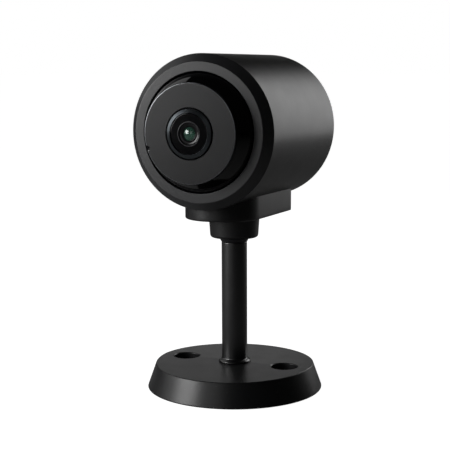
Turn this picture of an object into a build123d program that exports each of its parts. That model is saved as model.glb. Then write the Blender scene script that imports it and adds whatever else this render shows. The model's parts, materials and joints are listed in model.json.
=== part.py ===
"""Small indoor security camera: a barrel head on a ball-jointed pole and a round screw-down base.

Frame: +Z up, origin at the centre of the base's underside, front of the camera towards -Y.
All sizes are in millimetres.  Heights inside the head are given from the head's axis.
"""

import os
from math import cos, radians, sin, sqrt

from build123d import *

# Head and its axis
head_radius = 23.0
head_axis_height = 81.6
head_front = -22.5
head_back = 27.5
head_wall = 1.8
head_bore = head_radius - head_wall

# Front bezel, window dome and face plate
bezel_front = -25.0
bezel_face_outer = 20.6
bezel_face_inner = 17.8
bezel_bore = 19.6
window_radius = 19.2
window_wall = 1.3
window_centre = -16.8
plate_front = -30.5
plate_back = -29.2
plate_radius = 14.65
plate_spigot_radius = 12.8
mic_notch_radius = 0.65
mic_notch_angle = 198.0
ring_radius = 7.55
ring_edge_radius = 7.15
ring_proud = 0.6

# Lens, filter and sensor stack
lens_radius = 5.9
lens_front = -30.9
lens_back = -16.0
lens_mouth = 3.55
lens_aperture = 1.95
lens_rim = -30.45
holder_radius = 7.6
filter_window = 6.0
sensor_board_front = -10.0
sensor_board_radius = 15.6
led_board_front = -19.5
led_board_radius = 17.2
led_count = 8
led_circle = 15.0

# Main board, rear cover and the parts that open on it
board_top = -6.0
board_thickness = 1.2
board_half_width = 17.0
board_front = -6.0
board_rear = 23.5
cover_inner = 25.4
cover_outer = 27.0
cover_screw_circle = 18.6
cover_screw_angles = (90.0, 225.0, 315.0)
usb_centre_height = -4.4
card_left = -10.5
card_width = 11.0
card_length = 15.0
card_thickness = 0.7
card_height = -8.5
button_x = 9.5
button_height = -8.9
button_radius = 1.3
button_travel = 0.5
light_pipe_height = -4.6
speaker_height = 7.0
speaker_radius = 8.2

# Saddle, ball joint and pole
saddle_half_width = 11.9
saddle_nose_y = -7.4
saddle_back_y = 18.5
saddle_bottom = 54.8
saddle_floor = 2.5
saddle_screw_y = (-12.0, 13.5)
ball_radius = 4.77
ball_height = 49.0
liner_inner = 4.80
liner_outer = 5.60
socket_radius = 5.63
cup_bottom = 47.9
cup_top = 54.5
cup_bottom_radius = 7.5
cup_top_radius = 7.95
cup_spigot_radius = 6.2
cup_spigot_top = 57.8
pole_radius = 4.0
pole_top = 46.4
pole_bore = 2.5

# Base
base_bottom = 0.2
base_edge_height = 7.6
base_ridge_height = 8.1
base_bottom_radius = 27.65
base_top_radius = 25.0
base_wall = 2.2
base_roof = 5.6
screw_hole_offset = 17.0
screw_hole_radius = 2.2
screw_head_radius = 4.15
screw_seat_height = 4.2
pad_radius = 24.9
pad_thickness = 1.2
weight_bottom = 1.4
weight_top = 4.9
weight_radius = 22.6


# Shape helpers
def polygon(*points):
    """Closed flat face through the points."""
    return make_face(Polyline(*points, close=True))


def turned(*profiles, angle=360):
    """Solid of revolution about Z from faces drawn as (radius, height)."""
    return sum_of([revolve(Plane.XZ * face, Axis.Z, angle) for face in profiles])


def sum_of(parts):
    total = parts[0]
    for part in parts[1:]:
        total = total + part
    return total


def along_head(shape):
    """Turns a shape made about Z so that Z runs along the head's axis, front to back."""
    return Pos(0, 0, head_axis_height) * Rot(X=-90) * shape


def head_turned(*points):
    """Solid of revolution about the head's axis from (radius, y) points."""
    return along_head(turned(polygon(*points)))


def block(x_range, y_range, z_range, lift=0.0):
    """Box from its limits; lift moves it up, as by the height of the head's axis."""
    size = [high - low for low, high in (x_range, y_range, z_range)]
    middle = [(high + low) / 2 for low, high in (x_range, y_range, z_range)]
    return Pos(middle[0], middle[1], middle[2] + lift) * Box(*size)


def head_block(x_range, y_range, z_range):
    return block(x_range, y_range, z_range, lift=head_axis_height)


def rod_z(radius, low, high, x=0.0, y=0.0):
    return Pos(x, y, (low + high) / 2) * Cylinder(radius, high - low)


def rod_y(radius, low, high, x=0.0, height=0.0):
    """Round bar parallel to the head's axis, height measured from that axis."""
    place = Pos(x, (low + high) / 2, head_axis_height + height)
    return place * Rot(X=90) * Cylinder(radius, high - low)


def head_place(y, x, height):
    """Moves a shape to a point of the head, height measured from its axis."""
    return Pos(x, y, head_axis_height + height)


def around(circle, angle):
    """Point (x, height) on a circle about the head's axis, seen from the front."""
    return circle * cos(radians(angle)), circle * sin(radians(angle))


def separate(solids):
    """Several equal pieces kept as separate solids of one node."""
    return Compound(children=[piece for group in solids for piece in Part() + group.solids()])


def pan_screw(shank, length, head, head_height):
    """Screw along -Z with its head above z = 0 and a cross recess in the head."""
    body = rod_z(shank, -length, 0) + rod_z(head, 0, head_height)
    body = chamfer(body.edges().group_by(Axis.Z)[-1], head_height * 0.2)
    arm = head * 0.28
    recess = head_height * 0.55
    cross = block((-head * 0.62, head * 0.62), (-arm / 2, arm / 2), (head_height - recess, head_height))
    return body - cross - Rot(Z=90) * cross


def shell_band(inner, outer, first_angle, last_angle):
    """Ring cut from a spherical shell between two angles from +Z."""
    reach = outer * 3
    wedge = polygon(
        (0, 0),
        (reach * sin(radians(first_angle)), reach * cos(radians(first_angle))),
        (reach * sin(radians(last_angle)), reach * cos(radians(last_angle))),
    )
    return turned((Circle(outer) - Circle(inner)) & wedge)


# Base
def base_outer(inset=0.0, top=base_ridge_height + 1.0, bottom=base_bottom):
    """Cone of the base, its wall moved in by inset."""
    slope = (base_bottom_radius - base_top_radius) / (base_edge_height - base_bottom)
    low_radius = base_bottom_radius - inset - slope * (bottom - base_bottom)
    high_radius = base_bottom_radius - inset - slope * (top - base_bottom)
    return turned(polygon((0, bottom), (low_radius, bottom), (high_radius, top), (0, top)))


def base_cover():
    """Moulded cover: a low ridge crosses the top through both screw holes."""
    reach = base_bottom_radius + 5
    drop = (base_ridge_height - base_edge_height) * reach / base_top_radius
    eaves = base_ridge_height - drop
    roof = polygon((-reach, 0), (-reach, eaves), (0, base_ridge_height), (reach, eaves), (reach, 0))
    body = base_outer() & extrude(Plane.YZ * roof, reach, both=True)
    body += rod_z(5.2, base_roof, base_ridge_height)
    body -= base_outer(inset=base_wall, top=base_roof)
    pole_boss_radius, pole_seat, boss_bottom = 7.0, 5.0, 3.8
    body += rod_z(pole_boss_radius, boss_bottom, base_roof + 0.5)
    body -= rod_z(3.55, pole_seat, base_ridge_height + 1)
    body -= rod_z(1.9, boss_bottom - 1, pole_seat + 1)
    for side in (-1, 1):
        x = side * screw_hole_offset
        body += rod_z(6.0, pad_thickness, base_roof + 0.5, x) & base_outer(inset=0.5)
        body -= rod_z(screw_head_radius, screw_seat_height, base_ridge_height + 1, x)
        body -= rod_z(screw_hole_radius, -1, screw_seat_height + 1, x)
        rim_low, rim_high = base_ridge_height - 0.3, base_ridge_height + 0.1
        rim_radius = screw_head_radius + 0.4
        rim = polygon((0, rim_low), (screw_head_radius, rim_low), (rim_radius, rim_high), (0, rim_high))
        body -= Pos(x, 0, 0) * turned(rim)
    for x, y in weight_screw_places():
        body += rod_z(2.2, weight_top, base_roof + 0.5, x, y)
        body -= rod_z(0.8, weight_top - 1, 6.6, x, y)
    return body


def weight_screw_places():
    circle = 18.0
    return [around(circle, angle) for angle in (90, 225, 315)]


def base_weight():
    """Steel disc that keeps the stand upright."""
    plate = rod_z(weight_radius, weight_bottom, weight_top) - rod_z(8.0, 0, weight_top + 1)
    for side in (-1, 1):
        plate -= rod_z(6.3, 0, weight_top + 1, side * screw_hole_offset)
    for x, y in weight_screw_places():
        plate -= rod_z(1.1, 0, weight_top + 1, x, y)
        plate -= rod_z(2.0, weight_bottom, weight_bottom + 1.3, x, y)
    return plate


def base_pad():
    """Rubber pad that stands 0.2 mm below the cover."""
    pad = rod_z(pad_radius, 0, pad_thickness)
    pad = chamfer(pad.edges().group_by(Axis.Z)[0], 0.15)
    for side in (-1, 1):
        pad -= rod_z(screw_hole_radius, -1, pad_thickness + 1, side * screw_hole_offset)
    return pad


def weight_screws():
    screw = Rot(X=180) * pan_screw(0.75, 3.9, 1.9, 1.2)
    seat = weight_bottom + 1.25
    return separate([Pos(x, y, seat) * screw for x, y in weight_screw_places()])


# Pole and ball
def pole():
    """Turned rod with a beaded foot, a locating spigot and a drilled top for the ball stud."""
    foot = base_ridge_height
    rod = turned(
        polygon(
            (0, 5.0), (3.5, 5.0), (3.5, foot), (4.85, foot), (5.05, foot + 0.2),
            (5.05, foot + 0.45), (4.8, foot + 0.7), (4.25, foot + 1.0), (pole_radius, foot + 1.4),
            (pole_radius, pole_top - 0.2), (pole_radius - 0.2, pole_top), (0, pole_top),
        )
    )
    return rod - rod_z(pole_bore, 38.0, pole_top + 1) - rod_z(1.6, 4.0, 14.0)


def pole_screw():
    return Pos(0, 0, 3.8) * Rot(X=180) * pan_screw(1.55, 9.6, 3.0, 2.0)


def ball_stud():
    """Ball that flares from the pole's width, on a shank that turns in the pole."""
    ball = Pos(0, 0, ball_height) * Sphere(ball_radius)
    ball = ball & rod_z(ball_radius + 1, pole_top, ball_height + ball_radius + 1)
    return ball + rod_z(pole_bore - 0.03, 38.4, pole_top + 1)


def socket_liner():
    """Snap ring between ball and cup, from above the ball's middle to just below it."""
    return Pos(0, 0, ball_height) * shell_band(liner_inner, liner_outer, 62, 101)


def friction_pad():
    pad = rod_z(2.9, ball_height, 55.2)
    return pad - Pos(0, 0, ball_height) * Sphere(liner_inner)


def disc_springs():
    """Two cupped spring washers, back to back, that load the friction pad."""
    low = 55.2
    rise, thick = 0.2, 0.3
    cupped = turned(polygon((1.3, 0), (1.3, thick), (2.8, thick + rise), (2.8, rise)))
    upper = Pos(0, 0, low + 2 * (thick + rise)) * Rot(X=180) * cupped
    return separate([Pos(0, 0, low) * cupped, upper])


def socket_cup():
    """Tapered cup around the ball, with a threaded spigot through the saddle's floor."""
    corner = 0.7
    outer = polygon(
        (0, cup_bottom), (cup_bottom_radius - corner, cup_bottom),
        (cup_bottom_radius - 0.2, cup_bottom + 0.2), (cup_bottom_radius, cup_bottom + corner),
        (cup_top_radius, cup_top), (7.3, cup_top),
        (7.3, saddle_bottom), (cup_spigot_radius, saddle_bottom), (cup_spigot_radius, cup_spigot_top),
        (0, cup_spigot_top),
    )
    cup = turned(outer) - Pos(0, 0, ball_height) * Sphere(socket_radius)
    return cup - rod_z(3.0, ball_height, 56.2)


def cup_nut():
    nut = rod_z(8.2, saddle_bottom + saddle_floor, cup_spigot_top + 0.3)
    nut = chamfer(nut.edges().group_by(Axis.Z)[-1], 0.4)
    nut -= rod_z(cup_spigot_radius, 50, 60)
    for angle in range(0, 360, 60):
        x, y = around(8.2, angle + 30)
        nut -= rod_z(0.9, 50, 60, x, y)
    return nut


# Saddle between the cup and the barrel
def saddle_outline(inset):
    """D-shaped plan: round nose, straight sides, flat back."""
    width = saddle_half_width - inset
    back = saddle_back_y - inset
    nose = Pos(0, saddle_nose_y) * Circle(width)
    return nose + Pos(0, (saddle_nose_y + back) / 2) * Rectangle(2 * width, back - saddle_nose_y)


def saddle():
    high = head_axis_height - head_radius / 2
    floor_top = saddle_bottom + saddle_floor
    body = Pos(0, 0, saddle_bottom) * extrude(saddle_outline(0), high - saddle_bottom)
    body = chamfer(body.edges().group_by(Axis.Z)[0], 0.3)
    body -= Pos(0, 0, floor_top) * extrude(saddle_outline(2.0), high - floor_top)
    for y in saddle_screw_y:
        body += rod_z(2.6, floor_top - 0.5, high, 0, y)
        body -= rod_z(1.0, saddle_bottom + 1.2, high + 1, 0, y)
    body -= rod_y(head_radius + 0.02, -60, 60)
    return body - rod_z(cup_spigot_radius + 0.05, 50, floor_top + 1)


def saddle_screws():
    under_head = head_axis_height - head_bore + 0.1
    screw = pan_screw(0.95, 4.2, 1.9, 1.2)
    return separate([Pos(0, y, under_head) * screw for y in saddle_screw_y])


# Barrel and front
def barrel():
    """Tube of the head, with board rails, a stop ring, rear screw bosses and holes for the saddle screws."""
    edge = 0.4
    tube = head_turned(
        (head_bore, head_front), (head_radius, head_front), (head_radius, head_back - edge),
        (head_radius - edge, head_back), (head_bore, head_back),
    )
    tube += head_turned((20.2, -15.2), (head_bore + 0.5, -15.2), (head_bore + 0.5, -14.2), (20.2, -14.2))
    inside = rod_y(head_bore + 0.5, -40, 40)
    rails = []
    for side in (-1, 1):
        x_range = (16.2, 22.0) if side > 0 else (-22.0, -16.2)
        board_bottom = board_top - board_thickness
        rails.append(head_block(x_range, (-4, board_rear), (board_top + 0.05, board_top + 1.2)))
        rails.append(head_block(x_range, (-4, board_rear), (board_bottom - 1.2, board_bottom - 0.05)))
    tube += sum_of(rails) & inside
    for angle in cover_screw_angles:
        x, height = around(cover_screw_circle, angle)
        wide = x / cover_screw_circle * (head_bore + 0.3)
        tall = height / cover_screw_circle * (head_bore + 0.3)
        boss = rod_y(2.5, 13.0, cover_inner, x, height) + rod_y(2.0, 13.0, cover_inner, wide, tall)
        tube += boss & inside
        tube -= rod_y(1.05, 15.0, cover_inner + 1, x, height)
    for y in saddle_screw_y:
        tube -= rod_z(1.2, head_axis_height - head_radius - 1, head_axis_height - 18, 0, y)
    return tube


def front_bezel():
    """Bevelled front ring; its lip holds the window dome."""
    return head_turned(
        (bezel_face_outer, bezel_front), (head_radius, head_front), (head_bore - 0.05, head_front),
        (head_bore - 0.05, -18.5), (bezel_bore, -18.5), (bezel_bore, -24.0),
        (bezel_face_inner, -24.0), (bezel_face_inner, bezel_front + 0.12),
        (bezel_face_inner + 0.12, bezel_front),
    )


def window_gasket():
    return head_turned((18.45, -23.9), (19.5, -23.9), (19.5, -22.9), (18.45, -22.9))


def window_dome():
    """Dark dome that the infra-red lamps shine through, with a flange behind the bezel."""
    skin = Pos(0, window_centre) * (Circle(window_radius) - Circle(window_radius - window_wall))
    limits = polygon((0, plate_back), (25, plate_back), (25, -18.5), (0, -18.5))
    flange = polygon((17.9, -19.5), (19.5, -19.5), (19.5, -18.5), (17.9, -18.5))
    return along_head(turned(skin & limits, flange))


def face_plate():
    """Flat front plate with a stepped hole for the lens ring and a notch for the microphone."""
    edge = 0.22
    plate = head_turned(
        (ring_radius + 0.05, plate_front), (plate_radius - edge, plate_front),
        (plate_radius, plate_front + edge), (plate_radius, plate_back),
        (plate_spigot_radius, plate_back), (plate_spigot_radius, -27.8),
        (plate_spigot_radius - 0.8, -27.8), (plate_spigot_radius - 0.8, plate_back), (7.2, plate_back),
        (7.2, plate_front + 0.5), (ring_radius + 0.05, plate_front + 0.5),
    )
    x, height = around(plate_radius - 0.25, mic_notch_angle)
    return plate - rod_y(mic_notch_radius, plate_front - 1, plate_front + 0.9, x, height)


def lens_ring():
    """Sloping trim ring on a thin flange, which leaves a narrow groove inside the plate's hole."""
    return head_turned(
        (ring_edge_radius, plate_front - 0.16), (6.05, plate_front - ring_proud), (6.05, -28.6),
        (ring_edge_radius, -28.6), (ring_edge_radius, plate_front + 0.45),
        (ring_radius, plate_front + 0.45), (ring_radius, plate_front + 0.3), (ring_edge_radius, plate_front + 0.3),
    )


def microphone():
    x, height = around(10.6, mic_notch_angle)
    body = block((-1.3, 1.3), (plate_back, -28.2), (-1.7, 1.7))
    return head_place(0, x, height) * Rot(Y=180 - mic_notch_angle) * body


# Lens
def lens_barrel():
    """Threaded lens tube with a conical mouth and bores that widen to the rear."""
    groove_pitch, groove_depth, thread_start, turns = 0.5, 0.2, -24.0, 14
    outer = [(lens_mouth, lens_front), (lens_radius - 0.15, lens_front), (lens_radius, lens_front + 0.15)]
    for turn in range(turns):
        start = thread_start + turn * groove_pitch
        outer.append((lens_radius, start))
        outer.append((lens_radius - groove_depth, start + groove_pitch / 2))
    outer.append((lens_radius, thread_start + turns * groove_pitch))
    outer.append((lens_radius, lens_back))
    bores = [
        (4.6, lens_back), (4.6, -22.5), (3.9, -22.5), (3.9, -26.0), (3.2, -26.0), (3.2, -29.2),
        (lens_aperture, lens_rim + 0.1), (lens_aperture, lens_rim),
    ]
    return head_turned(*outer, *bores)


def bulged(radius, front, back, front_curve, back_curve):
    """Glass element: edge cylinder from front to back, with domed faces of the given radii."""
    edge = rod_z(radius, front, back)
    front_rise = front_curve - sqrt(front_curve**2 - radius**2)
    back_rise = back_curve - sqrt(back_curve**2 - radius**2)
    whole = rod_z(radius, front - front_rise, back + back_rise)
    front_ball = Pos(0, 0, front - front_rise + front_curve) * Sphere(front_curve)
    back_ball = Pos(0, 0, back + back_rise - back_curve) * Sphere(back_curve)
    front_cap = whole & front_ball & rod_z(radius + 1, front - front_rise - 1, (front + back) / 2)
    back_cap = whole & back_ball & rod_z(radius + 1, (front + back) / 2, back + back_rise + 1)
    return along_head(edge + front_cap + back_cap)


def front_lens():
    return bulged(3.15, -29.05, -26.7, 3.75, 9.0)


def middle_lens():
    return bulged(3.85, -24.8, -23.8, 9.5, 9.5)


def rear_lens():
    return bulged(4.55, -21.9, -20.4, 12.0, 10.0)


def aperture_stop():
    return head_turned((1.4, -25.98), (3.85, -25.98), (3.85, -25.8), (1.4, -25.8))


def lens_retainer():
    ring = head_turned((3.6, -19.3), (4.58, -19.3), (4.58, -18.0), (3.6, -18.0))
    return ring - head_block((-0.5, 0.5), (-18.5, -17.5), (-6, 6))


# Filter changer
def lens_holder():
    """Thread tube for the lens on the front half of the filter changer's case."""
    tube = rod_y(holder_radius, -25.0, -14.0)
    case = head_block((-10.5, 10.5), (-14.5, -11.6), (-7.5, 7.5))
    holder = tube + case - rod_y(lens_radius + 0.05, -26.0, -13.0)
    return holder - head_block((-9.8, 9.8), (-13.5, -11.0), (-4.7, 4.7))


def filter_base():
    plate = head_block((-10.5, 10.5), (-11.6, sensor_board_front), (-7.5, 7.5))
    return plate - head_block((-4.5, 4.5), (-12, -9), (-3.6, 3.6))


def filter_carrier():
    """Sliding frame with two windows, one for each filter."""
    frame = head_block((-3.5, 9.5), (-13.3, -11.8), (-4.4, 4.4))
    for x in (0.0, filter_window):
        frame -= head_block((x - 2.2, x + 2.2), (-14, -11), (-3.1, 3.1))
        frame -= head_block((x - 2.6, x + 2.6), (-13.4, -12.5), (-3.5, 3.5))
    return frame


def filter_glasses():
    """Infra-red cut glass on the lens axis and clear glass beside it."""
    places = (0.0, filter_window)
    return separate([head_block((x - 2.55, x + 2.55), (-13.2, -12.5), (-3.45, 3.45)) for x in places])


def filter_yoke():
    yoke = head_block((-5.0, 5.0), (-13.9, -11.6), (-12.3, -7.55))
    return yoke - head_block((-3.65, 3.65), (-15, -10), (-11.8, -8.1))


def filter_coil():
    return head_place(-12.75, 0, -9.95) * Rot(Y=90) * Cylinder(1.7, 7.2)


# Sensor, lamps and frame
def post_angles():
    return (45, 135, 225, 315)


def sensor_board():
    board = rod_y(sensor_board_radius, sensor_board_front, sensor_board_front + 1.0)
    for angle in post_angles():
        board -= rod_y(0.95, -12, -7, *around(13.4, angle))
    return board


def sensor_board_screws():
    screw = Rot(X=-90) * pan_screw(0.7, 4.0, 1.5, 1.0)
    return separate([head_place(-9.0, *around(13.4, angle)) * screw for angle in post_angles()])


def image_sensor():
    package = head_block((-4.0, 4.0), (-11.1, sensor_board_front), (-3.2, 3.2))
    return package - head_block((-3.2, 3.2), (-11.2, -10.95), (-2.4, 2.4))


def flex_connectors():
    on_sensor_board = head_block((-6.0, 6.0), (-9.0, -7.9), (1.0, 3.2))
    on_main_board = head_block((-6.0, 6.0), (-4.9, -2.9), (board_top, board_top + 1.0))
    return separate([on_sensor_board, on_main_board])


def flat_cables():
    """Cable that bends from the sensor board down to the main board, and the lamps' ribbon."""
    thick, bend, half_width = 0.15, 2.6, 5.0
    drop_y = -8.3
    run_height = board_top + 1.1
    corner_y, corner_height = drop_y + bend, run_height + bend
    elbow = Pos(corner_y, corner_height) * (Circle(bend + thick / 2) - Circle(bend - thick / 2))
    elbow = elbow & Pos(corner_y - bend, corner_height - bend) * Rectangle(2 * bend, 2 * bend)
    drop = Pos(drop_y, (corner_height + 0.95) / 2) * Rectangle(thick, 0.95 - corner_height)
    run = Pos((corner_y - 3.0) / 2, run_height) * Rectangle(-3.0 - corner_y, thick)
    strip = extrude(Plane.YZ * (elbow + drop + run), half_width, both=True)
    ribbon = head_block((-3.0, 3.0), (led_board_front + 1.2, sensor_board_front), (8.5, 8.7))
    return separate([Pos(0, 0, head_axis_height) * strip, ribbon])


def led_board():
    board = rod_y(led_board_radius, led_board_front, led_board_front + 1.2) - rod_y(8.4, -25, -15)
    for angle in led_screw_angles():
        board -= rod_y(0.95, -25, -15, *around(12.0, angle))
    return board


def led_screw_angles():
    return (0, 120, 240)


def led_board_screws():
    screw = Rot(X=90) * pan_screw(0.65, 3.2, 1.5, 1.0)
    places = [head_place(led_board_front, *around(12.0, angle)) for angle in led_screw_angles()]
    return separate([place * screw for place in places])


def infrared_leds():
    """Lamps on the ring board, each a square body with a small domed lens."""
    lamps = []
    for index in range(led_count):
        angle = (index + 0.5) * 360 / led_count
        body = block((-1.4, 1.4), (-1.1, 0), (-1.4, 1.4))
        body += Pos(0, -1.1, 0) * Sphere(1.1) & block((-2, 2), (-2.4, -0.5), (-2, 2))
        x, height = around(led_circle, angle)
        lamps.append(Pos(x, led_board_front, head_axis_height + height) * Rot(Y=-angle) * body)
    return separate(lamps)


def light_sensor():
    x, height = around(led_circle, 90)
    return head_place(led_board_front, x, height) * block((-1.0, 1.0), (-0.8, 0), (-0.8, 0.8))


def front_frame():
    """Ring frame clamped between bezel and barrel; it carries both round boards."""
    frame = head_turned(
        (9.8, -17.0), (18.0, -17.0), (18.0, -18.4), (21.1, -18.4), (21.1, -15.2), (9.8, -15.2),
    )
    for angle in led_screw_angles():
        x, height = around(12.0, angle)
        frame += rod_y(1.7, led_board_front + 1.2, -16.0, x, height)
    for angle in post_angles():
        x, height = around(13.4, angle)
        frame += rod_y(1.8, -16.0, sensor_board_front, x, height)
    for angle in led_screw_angles():
        frame -= rod_y(0.7, -20, -15.6, *around(12.0, angle))
    for angle in post_angles():
        frame -= rod_y(0.75, -14.5, -9, *around(13.4, angle))
    return frame


# Main board and what stands on it
def main_board():
    across = (-board_half_width, board_half_width)
    return head_block(across, (board_front, board_rear), (board_top - board_thickness, board_top))


def processor():
    return head_block((-6, 6), (2, 14), (board_top, board_top + 1.3))


def thermal_pad():
    return head_block((-5.5, 5.5), (2.5, 13.5), (board_top + 1.3, board_top + 1.8))


def heat_sink():
    """Finned block on the processor."""
    base_low = board_top + 1.8
    base_high = base_low + 1.0
    fin_count, fin_width, fin_height = 6, 0.9, 4.4
    sink = head_block((-7, 7), (1, 15), (base_low, base_high))
    step = (14 - fin_width) / (fin_count - 1)
    for index in range(fin_count):
        left = -7 + index * step
        sink += head_block((left, left + fin_width), (1, 15), (base_high - 0.2, base_high + fin_height))
    return sink


def radio_module():
    can = head_block((-16.0, -8.5), (1, 12), (board_top, board_top + 2.2))
    return chamfer(can.edges().group_by(Axis.Z)[-1], 0.3)


def board_parts():
    """Coils and capacitors of the power supply."""
    pieces = [head_block((9, 14), (6, 11), (board_top, board_top + 2.5))]
    for y in (-1.5, 1.0, 3.5):
        pieces.append(head_block((9, 12), (y, y + 1.6), (board_top, board_top + 1.4)))
    for x in (-12.5, -9.0):
        pieces.append(head_place(15.5, x, board_top + 1.5) * Cylinder(1.5, 3.0))
    return separate(pieces)


def antenna():
    """Curved strip inside the top of the barrel, and its thin lead from the radio module."""
    strip = revolve(Plane.XZ * polygon((20.8, -8), (21.1, -8), (21.1, 4), (20.8, 4)), Axis.Z, 60)
    start_height = board_top + 2.2
    route = FilletPolyline(
        (-12.0, 8.0, start_height), (-12.0, 8.0, start_height + 6.0), (-14.0, 4.0, start_height + 13.0),
        (-13.2, 0.0, start_height + 18.0), (-8.9, -2.0, start_height + 21.9),
        radius=4.0,
    )
    section = Plane(origin=route @ 0, z_dir=route % 0) * Circle(0.5)
    lead = Pos(0, 0, head_axis_height) * sweep(section, path=route)
    return separate([along_head(Rot(Z=-120) * strip), lead])


def usb_socket():
    """Metal shell of the power socket, with its tongue."""
    width, height, wall = 8.94, 3.2, 0.3
    outside = RectangleRounded(width, height, height / 2 - 0.05)
    inside = RectangleRounded(width - 2 * wall, height - 2 * wall, height / 2 - wall - 0.05)
    place = head_place(0, 0, usb_centre_height) * Rot(X=-90)
    shell = Pos(0, 0, 17.5) * extrude(outside, 8.9) - Pos(0, 0, 18.5) * extrude(inside, 9)
    tongue = block((-3.35, 3.35), (-0.35, 0.35), (18.0, 25.4))
    return place * (shell + tongue)


def card_socket():
    """Spring-loaded card holder under the board, open at the rear."""
    left, right = card_left - 1.3, card_left + card_width + 1.3
    shell = head_block((left, right), (10.0, 24.8), (board_top - 3.1, board_top - board_thickness))
    across = (card_left - 0.1, card_left + card_width + 0.1)
    return shell - head_block(across, (10.7, 25.5), (card_height - 0.1, card_height + card_thickness + 0.1))


def memory_card():
    """Card with a stepped side and a fingernail groove along its rear edge."""
    right, rear = card_left + card_width, 26.4
    top = card_height + card_thickness
    card = head_block((card_left, right), (rear - card_length, rear), (card_height, top))
    step = head_block((right - 1.3, right + 1), (10, 18.2), (card_height - 1, card_height + 2))
    groove = head_place(rear - 0.5, card_left + card_width / 2, card_height) * Rot(Y=90) * Cylinder(0.25, 8.0)
    return card - step - groove


def reset_switch():
    body = head_block((button_x - 2, button_x + 2), (19.5, 22.6), (-9.9, board_top - board_thickness))
    stop = cover_inner - 0.1 - 1.1 - 0.6 - button_travel - 0.05
    return body + rod_y(0.8, 22.5, stop, button_x, button_height)


def reset_button():
    """Plunger held behind the rear cover by its flange."""
    flange_back = cover_inner - 0.1
    stem = rod_y(button_radius, flange_back - 1.7, 26.6, button_x, button_height)
    stem = chamfer(stem.edges().group_by(Axis.Y)[-1], 0.2)
    return stem + rod_y(1.9, flange_back - 1.1, flange_back, button_x, button_height)


def status_led():
    return head_block((button_x - 0.8, button_x + 0.8), (22.0, 23.5), (board_top, board_top + 0.9))


def light_pipe():
    pipe = rod_y(0.95, 23.7, cover_outer + 0.1, button_x, light_pipe_height)
    return pipe + rod_y(1.25, 24.5, 25.3, button_x, light_pipe_height)


def speaker():
    """Speaker unit: basket with its magnet, and the cone."""
    basket = rod_y(speaker_radius, 20.6, 25.2, 0, speaker_height)
    basket -= rod_y(speaker_radius - 0.8, 21.4, 26, 0, speaker_height)
    basket += rod_y(3.6, 18.6, 21.0, 0, speaker_height)
    edge = speaker_radius - 0.85
    cone = polygon(
        (0, 24.4), (2.2, 24.2), (2.3, 22.9), (edge - 1.0, 24.5), (edge, 24.5), (edge, 24.8),
        (edge - 1.1, 24.8), (2.6, 23.4), (2.4, 24.5), (0, 24.7),
    )
    return separate([basket, Pos(0, 0, speaker_height) * along_head(turned(cone))])


def grille_holes():
    """Places (x, height) of the rear grille's holes: a centre hole and rings around it."""
    places = [(0.0, speaker_height)]
    for ring, circle in enumerate((1.9, 3.8, 5.7), start=1):
        for index in range(6 * ring):
            x, height = around(circle, index * 60 / ring)
            places.append((x, speaker_height + height))
    return places


def rear_cover():
    """Plate that closes the barrel, with the grille and every opening at the back."""
    edge = 0.3
    cover = head_turned(
        (0, cover_inner), (21.15, cover_inner), (21.15, cover_outer - edge), (21.15 - edge, cover_outer),
        (0, cover_outer),
    )
    for x, height in grille_holes():
        cover -= rod_y(0.55, 25, 28, x, height)
    usb_hole = RectangleRounded(9.6, 3.8, 1.85)
    cover -= head_place(25, 0, usb_centre_height) * Rot(X=-90) * extrude(usb_hole, 3)
    across = (card_left - 0.3, card_left + card_width + 0.3)
    cover -= head_block(across, (25, 28), (card_height - 0.25, card_height + card_thickness + 0.25))
    cover -= rod_y(button_radius + 0.1, 25, 28, button_x, button_height)
    cover -= rod_y(1.0, 25, 28, button_x, light_pipe_height)
    for angle in cover_screw_angles:
        x, height = around(cover_screw_circle, angle)
        cover -= rod_y(1.2, 25, 28, x, height)
        cover -= rod_y(2.1, 26.0, 28, x, height)
    return cover


def cover_screws():
    screw = Rot(X=-90) * pan_screw(0.95, 9.0, 1.95, 0.9)
    places = [head_place(26.0, *around(cover_screw_circle, angle)) for angle in cover_screw_angles]
    return separate([place * screw for place in places])


pieces = [
    base_cover, base_weight, base_pad, weight_screws, pole, pole_screw,
    ball_stud, socket_liner, friction_pad, disc_springs, socket_cup, cup_nut, saddle, saddle_screws,
    barrel, front_bezel, window_gasket, window_dome, face_plate, lens_ring, microphone,
    lens_barrel, front_lens, middle_lens, rear_lens, aperture_stop, lens_retainer, lens_holder,
    filter_base, filter_carrier, filter_glasses, filter_yoke, filter_coil,
    image_sensor, sensor_board, sensor_board_screws, flex_connectors, flat_cables,
    led_board, led_board_screws, infrared_leds, light_sensor, front_frame,
    main_board, processor, thermal_pad, heat_sink, radio_module, board_parts, antenna,
    usb_socket, card_socket, memory_card, reset_switch, reset_button, status_led, light_pipe,
    speaker, rear_cover, cover_screws,
]

os.makedirs("parts", exist_ok=True)
for piece in pieces:
    export_step(piece(), os.path.join("parts", piece.__name__ + ".step"))
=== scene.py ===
import json
import math

import bmesh
import bpy
from mathutils import Matrix, Vector

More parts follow.
